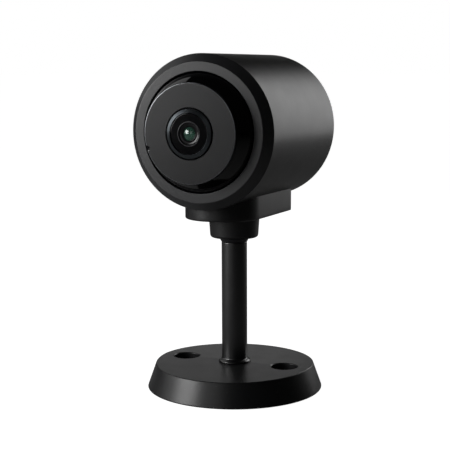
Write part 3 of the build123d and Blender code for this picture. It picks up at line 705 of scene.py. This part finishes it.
def makeSaddle(backRound, footRound, noseSteps, sideSteps, cupHole):
    # round nose, straight sides and flat back; its top lies on the barrel
    low, high = boxOf("saddle")
    halfWidth, back, bottom = high.x, high.y, low.z
    noseY = low.y + halfWidth

    def planPoints(inset):
        radius = halfWidth - inset
        nose = [math.pi * (1 + step / noseSteps) for step in range(noseSteps + 1)]
        points = [Vector((radius * math.cos(a), noseY + radius * math.sin(a))) for a in nose]
        sideEnd, corner = back - backRound, backRound - inset
        for step in range(1, sideSteps):
            points.append(Vector((radius, noseY + (sideEnd - noseY) * step / sideSteps)))
        for side, first in ((1, 0), (-1, math.pi / 2)):
            centre = Vector((side * (halfWidth - backRound), sideEnd))
            for step in range(7):
                angle = first + math.pi / 2 * step / 6
                points.append(centre + Vector((math.cos(angle), math.sin(angle))) * corner)
            if side == 1:
                for step in range(1, 8):
                    points.append(Vector((centre.x * (1 - step / 4), back - inset)))
        for step in range(sideSteps - 1, 0, -1):
            points.append(Vector((-radius, noseY + (sideEnd - noseY) * step / sideSteps)))
        return points

    def seat(point):
        return axisHeight - math.sqrt(barrelRadius ** 2 - point.x ** 2) - 0.02

    rings = [[Vector((0, 0, bottom))]]
    rings.append([Vector((p.x * 0.5, p.y * 0.5, bottom)) for p in planPoints(footRound)])
    for step in range(-1, 7):
        angle = math.pi / 2 * max(step, 0) / 6
        inset = footRound * (1 - math.sin(angle)) + (0.05 if step < 0 else 0)
        height = bottom + footRound * (1 - math.cos(angle))
        rings.append([Vector((p.x, p.y, height)) for p in planPoints(inset)])
    for share in (0.15, 0.5, 0.9, 1.0):
        ring = planPoints(0)
        heights = [(bottom + footRound) * (1 - share) + seat(p) * share for p in ring]
        rings.append([Vector((p.x, p.y, height)) for p, height in zip(ring, heights)])
    for share in (0.75, 0.5, 0.25):
        rings.append([Vector((p.x * share, p.y * share, seat(p * share))) for p in planPoints(0)])
    rings.append([Vector((0, 0, seat(Vector((0, 0)))))])
    mesh = loftMesh("saddle", rings, False)
    recess = [(0, bottom - 2, 0), (cupHole, bottom - 2, 0), (cupHole, bottom + 2.5, 0), (0, bottom + 2.5, 0)]
    tool = turnedMesh("cupHole", recess, standPlace, 96, False)
    holder = drill("saddle_finished", mesh, tool, [(0, 0, 0)], "satinShell")
    return finishPiece("saddleBlock", holder, "satinShell", "head", "shell_black", "saddle")


makeSaddle(**saddleSizes)
print("saddle finished")


# Barrel and front

barrelSizes = {"wall": 1.8, "frontRound": 0.12, "rearRound": 0.45}
bezelSizes = {
    "faceOuter": 20.6, "faceInner": 17.8, "spigot": 21.15, "bore": 19.6, "lipBack": -24.0,
    "spigotBack": -18.5, "edgeRound": 0.30, "seam": 0.06,
}
domeSizes = {
    "radius": 19.2, "wall": 1.3, "centre": -16.8, "flangeRadius": 19.5, "flangeFront": -19.5,
    "back": -18.5,
}
plateSizes = {
    "holeRadius": 7.6, "edge": 0.25, "back": -29.2, "notchRadius": 0.65, "notchAngle": 198.0,
    "notchInset": 0.25, "notchDepth": 0.4, "spigot": 12.8, "spigotWall": 0.8, "rearHole": 7.2,
}
ringSizes = {"outer": 7.1, "flange": 7.52, "inner": 6.05, "proud": 0.16, "grooveDepth": 0.3}


def makeBarrel(wall, frontRound, rearRound):
    front, back = barrelLow.y, barrelHigh.y
    bore = barrelRadius - wall
    stations = [front + (back - front) * share for share in (0.1, 0.3, 0.5, 0.7, 0.9)]
    outline = [(barrelRadius, front, frontRound)] + [(barrelRadius, y, 0) for y in stations] + [
        (barrelRadius, back, rearRound), (bore, back, 0.2), (bore, front, 0),
    ]
    return finishPiece("barrelShell", turnedMesh("barrelShell", outline, headPlace, 256),
        "satinShell", "head", "shell_black", "barrel")


def makeBezel(faceOuter, faceInner, spigot, bore, lipBack, spigotBack, edgeRound, seam):
    front = boxOf("front_bezel")[0].y
    rim = barrelLow.y - seam
    outline = [
        (faceOuter, front, edgeRound), (barrelRadius, rim, 0.08), (spigot + 0.5, rim, 0.0),
        (spigot, rim + seam, 0), (spigot, spigotBack, 0.1), (bore, spigotBack, 0.1), (bore, lipBack, 0),
        (faceInner, lipBack, 0), (faceInner, front, 0.16),
    ]
    return finishPiece("frontBezel", turnedMesh("frontBezel", outline, headPlace, 256),
        "bezelGrey", "head", "bezel_grey", "front_bezel")


def makeDome(radius, wall, centre, flangeRadius, flangeFront, back):
    plateBack = plateSizes["back"]
    def angleAt(radius, y):
        return math.degrees(math.asin((y - centre) / radius))
    inner = radius - wall
    outside = arcPoints(centre, radius, angleAt(radius, plateBack),
        angleAt(radius, flangeFront), 40)
    inside = arcPoints(centre, inner, angleAt(inner, back),
        angleAt(inner, plateBack), 24)
    flange = [(flangeRadius, flangeFront, 0.1),
        (flangeRadius, back, 0.1)]
    mesh = turnedMesh("windowDome", outside + flange + inside, headPlace, 256)
    return finishPiece("windowDome", mesh, "glossWindow", "head", "window_dark", "window_dome")


def makePlate(holeRadius, edge, back, notchRadius, notchAngle, notchInset, notchDepth, spigot,
        spigotWall, rearHole):
    # a disc whose rim dips round the microphone notch
    low, high = boxOf("face_plate")
    radius, front = high.x, low.y
    notch = math.radians(notchAngle)
    notchAt = radius - notchInset
    reachAngle = math.asin(notchRadius / notchAt) * 0.999

    def rimAt(angle, inset):
        away = (angle - notch + math.pi) % (2 * math.pi) - math.pi
        cut = notchRadius + inset * 0.6
        across = notchAt * math.sin(away)
        if abs(away) < 0.3 and abs(across) < cut:
            return min(radius - inset, notchAt * math.cos(away) - math.sqrt(cut ** 2 - across ** 2))
        return radius - inset

    angles = [2 * math.pi * step / 240 for step in range(240)]
    angles = [a for a in angles if abs(a - notch) > reachAngle * 1.6]
    angles += [notch + reachAngle * 1.55 * (step / 14 - 1) for step in range(29)]
    angles.sort()
    spigotBack = high.y
    levels = [
        (None, holeRadius, front + 0.5), (None, holeRadius, front + 0.06),
        (None, holeRadius + 0.06, front), (None, holeRadius + 0.4, front), (None, 11.0, front),
        (edge + 0.05, 0, front), (edge, 0, front), (edge * 0.3, 0, front + edge * 0.3),
        (0, 0, front + edge), (0, 0, front + edge + 0.05), (0, 0, front + notchDepth),
        (None, radius, front + notchDepth + 0.03), (None, radius, back - 0.05),
        (None, radius - 0.05, back), (None, spigot, back), (None, spigot, spigotBack),
        (None, spigot - spigotWall, spigotBack), (None, spigot - spigotWall, back),
        (None, rearHole, back), (None, rearHole, front + 0.5),
    ]
    rings = []
    for inset, fixedRadius, along in levels:
        reach = [fixedRadius if inset is None else rimAt(a, inset) for a in angles]
        points = [(r * math.cos(a), -r * math.sin(a), along) for r, a in zip(reach, angles)]
        rings.append([headPlace @ Vector(point) for point in points])
    plate = finishPiece("facePlate", loftMesh("facePlate", rings), "plateGrey", "head",
        "plate_grey", "face_plate")
    paintFaces(plate, "cutEdge", radius - edge * 0.9, radius + 0.1, front + edge)
    # painted shade: the notch's faces get the black lens finish so the shallow microphone notch reads as a
    # deep, dark hole
    plate.data.materials.append(finishes["lensBlack"])
    notchX, notchHeight = notchAt * math.cos(notch), axisHeight + notchAt * math.sin(notch)
    for face in plate.data.polygons:
        away = math.hypot(face.center.x / mm - notchX, face.center.z / mm - notchHeight)
        if away < notchRadius * 1.5 and face.center.y / mm > front + 0.01:
            face.material_index = len(plate.data.materials) - 1
    return plate


def makeLensRing(outer, flange, inner, proud, grooveDepth):
    front = boxOf("face_plate")[0].y
    tip, back = boxOf("lens_ring")[0].y, boxOf("lens_ring")[1].y
    floor = front + grooveDepth
    outline = [
        (flange, floor + 0.15, 0), (flange, floor, 0), (outer, floor, 0), (outer, front - proud, 0.03),
        (inner, tip, 0.03), (inner, back, 0), (outer, back, 0), (outer, floor + 0.15, 0),
    ]
    mesh = turnedMesh("lensRing", outline, headPlace, 256)
    ring = finishPiece("lensRing", mesh, "ringAnodised", "head", "ring_metal", "lens_ring")
    # painted shade: the ring's flange down in the groove gets the black lens finish, for the dark gap between
    # ring and plate
    paintFaces(ring, "lensBlack", outer, flange + 0.1, front + 1)
    return ring


makeBarrel(**barrelSizes)
makeBezel(**bezelSizes)
makeDome(**domeSizes)
makePlate(**plateSizes)
makeLensRing(**ringSizes)
print("barrel and front finished")


# Lens

lensSizes = {
    "radius": 5.9, "lip": 3.6, "lipWidth": 0.26, "faceDrop": 0.12, "aperture": 1.95, "rim": -30.45,
    "seat": 3.2, "seatFront": -29.2, "mouthFloor": 2.55, "mouthSlope": 2.95, "mouthEdge": 3.2,
    "mouthStart": 2.4, "middleBore": 3.9, "middleBoreFront": -26.0, "rearBore": 4.6,
    "rearBoreFront": -22.5, "threadPitch": 0.5, "threadDepth": 0.2, "threadStart": -24.0, "turns": 14,
}


def makeLensBarrel(radius, lip, lipWidth, faceDrop, aperture, rim, seat, seatFront, mouthFloor,
        mouthSlope, mouthEdge, mouthStart, middleBore, middleBoreFront, rearBore, rearBoreFront,
        threadPitch, threadDepth, threadStart, turns):
    # lip, shallow stepped mouth and a thread behind the face
    low, high = boxOf("lens_barrel")
    front, back = low.y, high.y
    face, inside = front + faceDrop, lip - lipWidth
    outline = [
        (inside, front + 0.16, 0.06), (inside + 0.06, front, 0.06), (lip - 0.06, front, 0.06),
        (lip, face, 0.04), (radius - 0.6, face, 0), (radius, face, 0.15),
    ]
    for turn in range(turns):
        start = threadStart + turn * threadPitch
        outline += [(radius, start, 0),
            (radius - threadDepth, start + threadPitch / 2, 0)]
    outline += [
        (radius, threadStart + turns * threadPitch, 0), (radius, back, 0.1), (rearBore, back, 0),
        (rearBore, rearBoreFront, 0), (middleBore, rearBoreFront, 0), (middleBore, middleBoreFront, 0),
        (seat, middleBoreFront, 0), (seat, seatFront, 0), (aperture, rim + 0.1, 0),
        (aperture, rim, 0.04), (mouthFloor, rim - 0.01, 0.2), (mouthSlope, rim - 0.08, 0.2),
        (mouthEdge, front + 0.24, 0.15),
    ]
    mesh = turnedMesh("lensBarrel", outline, headPlace, 192)
    lens = finishPiece("lensBarrel", mesh, "lensBlack", "head", "lens_black", "lens_barrel")
    paintFaces(lens, "lipGrey", inside - 0.02, lip + 0.02, front + 0.14)
    paintFaces(lens, "mouthBlack", mouthStart, inside - 0.02, front + 1)
    return lens


glassSizes = {  # the node, then radius, front and back edge along the head, and both faces' curves
    "frontGlass": ("front_lens", 3.15, -29.05, -26.7, 3.75, 9.0),
    "middleGlass": ("middle_lens", 3.85, -24.8, -23.8, 9.5, 9.5),
    "rearGlass": ("rear_lens", 4.55, -21.9, -20.4, 12.0, 10.0),
}

def makeElement(name, node, radius, front, back, frontCurve, backCurve):
    # a domed glass element, edge from front to back
    def cap(curve, edge, side):
        centre = edge - side * math.sqrt(curve ** 2 - radius ** 2)
        widest = math.degrees(math.acos(radius / curve))
        return centre, widest
    frontCentre, frontAngle = cap(frontCurve, front, -1)
    backCentre, backAngle = cap(backCurve, back, 1)
    outline = arcPoints(frontCentre, frontCurve, -90, -frontAngle, 20)
    outline += arcPoints(backCentre, backCurve, backAngle, 90, 16)
    outline[0] = (0, frontCentre - frontCurve, 0)
    outline[-1] = (0, backCentre + backCurve, 0)
    mesh = turnedMesh(name, outline, headPlace, 128, False)
    return finishPiece(name, mesh, "coatedGlass", "head", "lens_glass", node)


makeLensBarrel(**lensSizes)
for glassName, setup in glassSizes.items():
    makeElement(glassName, *setup)
print("lens finished")


# Rear cover, sockets and button

rearSizes = {
    "grilleCentre": 7.0, "grillePitch": 1.9, "grilleRings": 3, "grilleHole": 0.55, "mouth": 0.14,
    "screwCircle": 18.6, "screwAngles": (90, 225, 315), "screwSeat": 26.0, "counterbore": 2.1,
    "socketHeight": -4.4, "socketHalfWidth": 4.8, "socketHalfHeight": 1.9, "slotLeft": -10.8,
    "slotRight": 0.8, "slotLow": -8.75, "slotHigh": -7.55, "nailRadius": 4.2, "nailDepth": 0.7,
    "buttonX": 9.5, "buttonHeight": -8.9, "buttonHole": 1.4, "pipeHeight": -4.6, "pipeHole": 1.0,
}
screwSizes = {
    "head": 1.95, "headHeight": 0.9, "shank": 0.95, "length": 9.0, "pitch": 0.6, "recess": 0.95,
    "bladeHalf": 0.2, "recessDepth": 0.62, "seed": 7,
}


def headPoint(x, height, y=0.0):
    return Vector((x, y, axisHeight + height))


def slotLoop(halfWidth, halfHeight, corner, y, middleX=0.0, height=0.0, steps=8):
    # rounded rectangle across the head
    points = []
    for index, (sideX, sideZ) in enumerate(((1, 1), (-1, 1), (-1, -1), (1, -1))):
        for step in range(steps + 1):
            angle = math.pi / 2 * (index + step / steps)
            x = middleX + sideX * (halfWidth - corner) + corner * math.cos(angle)
            points.append(headPoint(x,
                height + sideZ * (halfHeight - corner) + corner * math.sin(angle), y))
    return points


def slotTool(halfWidth, halfHeight, corner, mouth, face, middleX, height):
    levels = ((24.0, 0), (face - mouth, 0), (face + 0.1, mouth + 0.1), (face + 1, mouth + 0.1))
    rings = []
    for y, grow in levels:
        rings.append(slotLoop(halfWidth + grow, halfHeight + grow, corner + grow, y, middleX, height))
    middles = [[headPoint(middleX, height, level[0])] for level in (levels[0], levels[-1])]
    return loftMesh("slotTool", [middles[0]] + rings + [middles[1]], False)


def makeRearCover(sizes):
    low, high = boxOf("rear_cover")
    radius, face, back = high.x, high.y, low.y
    outline = [(0, back, 0), (radius, back, 0.1), (radius, face, 0.35), (14, face, 0),
        (8, face, 0), (0, face, 0)]
    cover = turnedMesh("coverDisc", outline, headPlace, 192, False)
    mouth = sizes["mouth"]

    def holeTool(radius, bottom=24.0, flare=mouth):
        sides = [(radius, bottom, 0), (radius, face - flare, 0), (radius + flare + 0.1, face + 0.1, 0)]
        top = [(radius + flare + 0.1, face + 1, 0), (0, face + 1, 0)]
        steps = 24 if radius < 1 else 48
        return turnedMesh("hole", [(0, bottom, 0)] + sides + top, alongHead, steps, False)

    grille = [headPoint(0, sizes["grilleCentre"])]
    for ring in range(1, sizes["grilleRings"] + 1):
        for index in range(6 * ring):
            angle = math.radians(index * 60 / ring)
            reach = ring * sizes["grillePitch"]
            grille.append(headPoint(reach * math.cos(angle),
                sizes["grilleCentre"] + reach * math.sin(angle)))
    screws = [screwPoint(sizes, angle) for angle in sizes["screwAngles"]]
    slotMiddle = (sizes["slotLeft"] + sizes["slotRight"]) / 2
    slotHeight = (sizes["slotLow"] + sizes["slotHigh"]) / 2
    halfSlot = ((sizes["slotRight"] - sizes["slotLeft"]) / 2, (sizes["slotHigh"] - sizes["slotLow"]) / 2)
    socket = slotTool(sizes["socketHalfWidth"], sizes["socketHalfHeight"], 1.85, 0.3, face, 0,
        sizes["socketHeight"])
    slot = slotTool(*halfSlot, 0.3, 0.15, face, slotMiddle, slotHeight)
    nail = arcPoints(face + sizes["nailRadius"] - sizes["nailDepth"], sizes["nailRadius"], -90, 0, 16)
    nail[0] = (0, face - sizes["nailDepth"], 0)
    nailTool = turnedMesh("nail", nail + [(0, face + sizes["nailRadius"], 0)], alongHead, 48, False)
    centre = [(0, 0, 0)]
    cuts = [
        (holeTool(sizes["grilleHole"]), grille), (holeTool(1.2), screws), (socket, centre),
        (slot, centre), (holeTool(sizes["counterbore"], sizes["screwSeat"]), screws),
        (nailTool, [headPoint(slotMiddle, slotHeight)]),
        (holeTool(sizes["buttonHole"]), [headPoint(sizes["buttonX"], sizes["buttonHeight"])]),
        (holeTool(sizes["pipeHole"]), [headPoint(sizes["buttonX"], sizes["pipeHeight"])]),
    ]
    for number, (tool, places) in enumerate(cuts):
        holder = drill("cover" + str(number), cover, tool, places, "rearTexture")
        cover = holder.data
        if number < len(cuts) - 1:
            dropTools(holder)
    return finishPiece("rearCover", holder, "rearTexture", "head", "cover_black", "rear_cover")


def screwPoint(sizes, angle):
    turn = math.radians(angle)
    return headPoint(sizes["screwCircle"] * math.cos(turn), sizes["screwCircle"] * math.sin(turn))


def screwTree():
    # seats a screw at every point of the Places object, each turned by chance about its own axis
    anyShape = bpy.data.objects[0]
    inputs = {"Places": anyShape, "Screw": anyShape, "Seed": 0, "Finish": finishes["blackScrew"]}
    tree, given = startTree("seatedScrews", inputs)
    places = shapeOf(tree, given["Places"])
    screw = shapeOf(tree, given["Screw"])
    turn = put(tree, "FunctionNodeRandomValue", {"Seed": given["Seed"]}, data_type="FLOAT_VECTOR")
    turn.inputs["Min"].default_value = (0, 0, 0)
    turn.inputs["Max"].default_value = (0, 2 * math.pi, 0)
    values = {"Points": places, "Instance": screw, "Rotation": turn.outputs["Value"]}
    copies = put(tree, "GeometryNodeInstanceOnPoints", values)
    endTree(tree, copies.outputs[0], given["Finish"])
    return tree


def screwMesh(sizes, seat):
    # pan head with a cross recess, and a ridged shank, along the head's axis
    head, height, shank = sizes["head"], sizes["headHeight"], sizes["shank"]
    outline = [(0, seat - sizes["length"], 0), (shank * 0.6, seat - sizes["length"], 0.1)]
    ridge = seat - sizes["length"] + 0.5
    while ridge < seat - 1:
        outline += [(shank * 0.78, ridge, 0), (shank, ridge + sizes["pitch"] / 2, 0)]
        ridge += sizes["pitch"]
    outline += [
        (shank * 0.85, ridge, 0), (shank * 0.85, seat, 0), (head, seat, 0.08),
        (head, seat + height * 0.5, 0.35), (head * 0.5, seat + height, 0.6), (0, seat + height, 0),
    ]
    screw = turnedMesh("screw", outline, alongHead, 48, False)
    top, bottom, blade = seat + height, seat + height - sizes["recessDepth"], sizes["bladeHalf"]
    rings = []
    for y, reach in ((bottom, sizes["recess"] * 0.45), (top + 0.05, sizes["recess"])):
        cross = []
        for quarter in range(4):
            turn = Matrix.Rotation(quarter * math.pi / 2, 2)
            for x, z in ((reach, -blade), (reach, blade), (blade, blade)):
                spot = turn @ Vector((x, z))
                cross.append(Vector((spot.x, y, spot.y)))
        rings.append(cross)
    recess = loftMesh("recess",
        [[Vector((0, bottom, 0))]] + rings + [[Vector((0, top + 0.05, 0))]], False)
    holder = drill("screwHead", screw, recess, [(0, 0, 0)], "blackScrew")
    mesh = holder.data
    dropTools(holder)
    return mesh


def makeCoverScrews(sizes, rear):
    places = toolObject("screwPlaces", pointCloud("screwPlaces",
        [screwPoint(rear, angle) for angle in rear["screwAngles"]]))
    screw = toolObject("screwShape", screwMesh(sizes, rear["screwSeat"]))
    values = {"Places": places, "Screw": screw, "Seed": sizes["seed"], "Finish": finishes["blackScrew"]}
    holder = growMesh("screws", screwTree(), bpy.data.meshes.new("empty"), values)
    dropTools(places, screw)
    return finishPiece("coverScrews", holder, "blackScrew", "head", "steel_plain", "cover_screws",
        sharpAngle=30)


def rowTree():
    # a straight row of copies of one item, at a pitch along X
    tree, given = startTree("contactRow", {"Item": bpy.data.objects[0], "Count": 1, "Pitch": 1.0,
        "Finish": finishes["goldPads"]})
    item = shapeOf(tree, given["Item"])
    step = put(tree, "ShaderNodeCombineXYZ", {"X": given["Pitch"]})
    line = put(tree, "GeometryNodeMeshLine", {"Count": given["Count"], "Offset": step.outputs[0]})
    copies = put(tree, "GeometryNodeInstanceOnPoints", {"Points": line.outputs[0], "Instance": item})
    endTree(tree, copies.outputs[0], given["Finish"])
    return tree


contactRow = rowTree()


def plateMesh(name, low, high, corner=0.05):
    # a bar with rounded long edges, between two corners in mm
    centre, half = (Vector(low) + Vector(high)) / 2, (Vector(high) - Vector(low)) / 2
    lift = centre.z - axisHeight
    rings = []
    for y, inset in ((low[1], corner), (low[1] + corner, 0), (high[1] - corner, 0), (high[1], corner)):
        rings.append(slotLoop(half.x - inset, half.z - inset, corner, y, centre.x, lift, 3))
    ends = [[Vector((centre.x, y, centre.z))] for y in (low[1], high[1])]
    return loftMesh(name, [ends[0]] + rings + [ends[1]], False)


def makeRow(name, itemMesh, count, pitch, body, slot, finish="goldPads"):
    item = toolObject("rowItem", itemMesh)
    values = {"Item": item, "Count": count, "Pitch": pitch * mm, "Finish": finishes[finish]}
    holder = growMesh(name, contactRow, bpy.data.meshes.new("empty"), values)
    dropTools(item)
    return finishPiece(name, holder, finish, body, slot)


socketSizes = {
    "wall": 0.3, "floor": 18.5, "tongueTip": 25.4, "tongueHalf": 3.35, "tongueThick": 0.35,
    "contacts": 12, "pitch": 0.5,
}


def makeUsbSocket(wall, floor, tongueTip, tongueHalf, tongueThick, contacts, pitch):
    low, high = boxOf("usb_socket")
    height = (low.z + high.z) / 2 - axisHeight
    halfWidth, halfHeight = high.x, (high.z - low.z) / 2
    levels = [
        (low.y, 0), (high.y - 0.12, 0), (high.y - 0.03, 0.04), (high.y, 0.11),
        (high.y - 0.03, wall - 0.06), (high.y - 0.15, wall), (floor + 0.1, wall), (floor, wall + 0.1),
    ]
    rings = []
    for y, inset in levels:
        corner = halfHeight - inset - 0.02
        rings.append(slotLoop(halfWidth - inset, halfHeight - inset, corner, y, 0, height, 12))
    ends = [[headPoint(0, height, y)] for y in (low.y, floor)]
    shell = loftMesh("usbShell", [ends[0]] + rings + [ends[1]], False)
    finishPiece("usbShell", shell, "platedSteel", "head", "steel_plain", "usb_socket")
    tip, half, thick = tongueTip, tongueHalf, tongueThick
    middle = axisHeight + height
    tongue = plateMesh("usbTongue", (-half, floor - 0.2, middle - thick),
        (half, tip, middle + thick), 0.12)
    finishPiece("usbTongue", tongue, "innerPlastic", "head", "inner_black")
    first = -(contacts - 1) * pitch / 2
    for name, side in (("usbContactsTop", 1), ("usbContactsBottom", -1)):
        level = middle + side * thick
        bar = plateMesh(name + "Bar", (first - 0.13, tip - 3.6, level - 0.04),
            (first + 0.13, tip - 0.35, level + 0.04), 0.03)
        makeRow(name, bar, contacts, pitch, "head", "steel_plain")


cardSizes = {
    "stepWidth": 1.3, "stepEnd": 18.2, "edge": 0.12, "pads": 8, "padPitch": 1.1, "ridgeDepth": 0.22,
}


def makeMemoryCard(stepWidth, stepEnd, edge, pads, padPitch, ridgeDepth):
    # stepped outline seen from above, with a fingernail ridge at the rear edge
    low, high = boxOf("memory_card")
    left, right, front, rear = low.x, high.x, low.y, high.y
    stepX, stepY = right - stepWidth, stepEnd
    corners = [
        (left, front, 0.5), (stepX, front, 0.5), (stepX, stepY - 3.2, 0.2),
        (stepX + 0.6, stepY - 2.6, 0.2), (stepX + 0.6, stepY - 1.3, 0.2),
        (stepX + 0.1, stepY - 0.8, 0.1), (stepX + 0.1, stepY, 0.1), (right, stepY + 0.4, 0.3),
        (right, rear, 0.6), (left, rear, 0.6),
    ]

    def level(inset, z):
        middle = Vector(((left + right) / 2, (front + rear) / 2))
        points = []
        for p in roundedOutline(corners, True, 4):
            sideX, sideY = (1 if p.x > middle.x else -1), (1 if p.y > middle.y else -1)
            points.append(Vector((p.x - inset * sideX, p.y - inset * sideY, z)))
        return points

    heights = [(edge, low.z), (0, low.z + edge), (0, high.z - edge), (edge, high.z)]
    middle = ((left + right) / 2, (front + rear) / 2)
    ends = [[Vector((*middle, z))] for z in (low.z, high.z)]
    body = loftMesh("cardBody", [ends[0]] + [level(*item) for item in heights] + [ends[1]], False)
    groove = plateMesh("cardGroove", (middle[0] - 4, rear - 0.75, low.z - 0.5),
        (middle[0] + 4, rear - 0.3, low.z + ridgeDepth), 0.08)
    holder = drill("cardDrilled", body, groove, [(0, 0, 0)], "cardPlastic")
    finishPiece("memoryCard", holder, "cardPlastic", "card", "card_black", "memory_card", sharpAngle=30)
    first = left + 0.75
    pad = plateMesh("cardPad", (first, front + 0.7, low.z - 0.005),
        (first + 0.75, front + 3.4, low.z + 0.03), 0.015)
    makeRow("cardPads", pad, pads, padPitch, "card", "steel_plain")


def makeSmallTurned(sizes):
    # reset button with a dished tip, and the light pipe with a domed one
    low, high = boxOf("reset_button")
    tip, flange = high.y, 25.3
    outline = [
        (0, low.y, 0), (1.3, low.y, 0.1), (1.3, flange - 1.1, 0), (1.9, flange - 1.1, 0.08),
        (1.9, flange, 0.08), (1.3, flange, 0), (1.3, tip, 0.22), (0.85, tip - 0.03, 0.1),
        (0.4, tip - 0.16, 0.2), (0, tip - 0.18, 0),
    ]
    place = Matrix.Translation(headPoint(sizes["buttonX"], sizes["buttonHeight"])) @ alongHead
    finishPiece("resetButton", turnedMesh("resetButton", outline, place, 64, False),
        "innerPlastic", "button", "inner_black", "reset_button")
    low, high = boxOf("light_pipe")
    dome = arcPoints(high.y - 1.35, 1.35, 44, 90, 10)
    dome[-1] = (0, high.y, 0)
    outline = [(0, low.y, 0), (0.95, low.y, 0.1), (0.95, 24.5, 0), (1.25, 24.5, 0.08),
        (1.25, 25.3, 0.08), (0.95, 25.3, 0), (0.95, high.y - 0.42, 0)]
    place = Matrix.Translation(headPoint(sizes["buttonX"], sizes["pipeHeight"])) @ alongHead
    finishPiece("lightPipe", turnedMesh("lightPipe", outline + dome, place, 48, False),
        "smokedPipe", "head", "window_dark", "light_pipe")


makeRearCover(rearSizes)
makeCoverScrews(screwSizes, rearSizes)
makeUsbSocket(**socketSizes)
makeMemoryCard(**cardSizes)
makeSmallTurned(rearSizes)
print("rear cover, sockets and button finished")
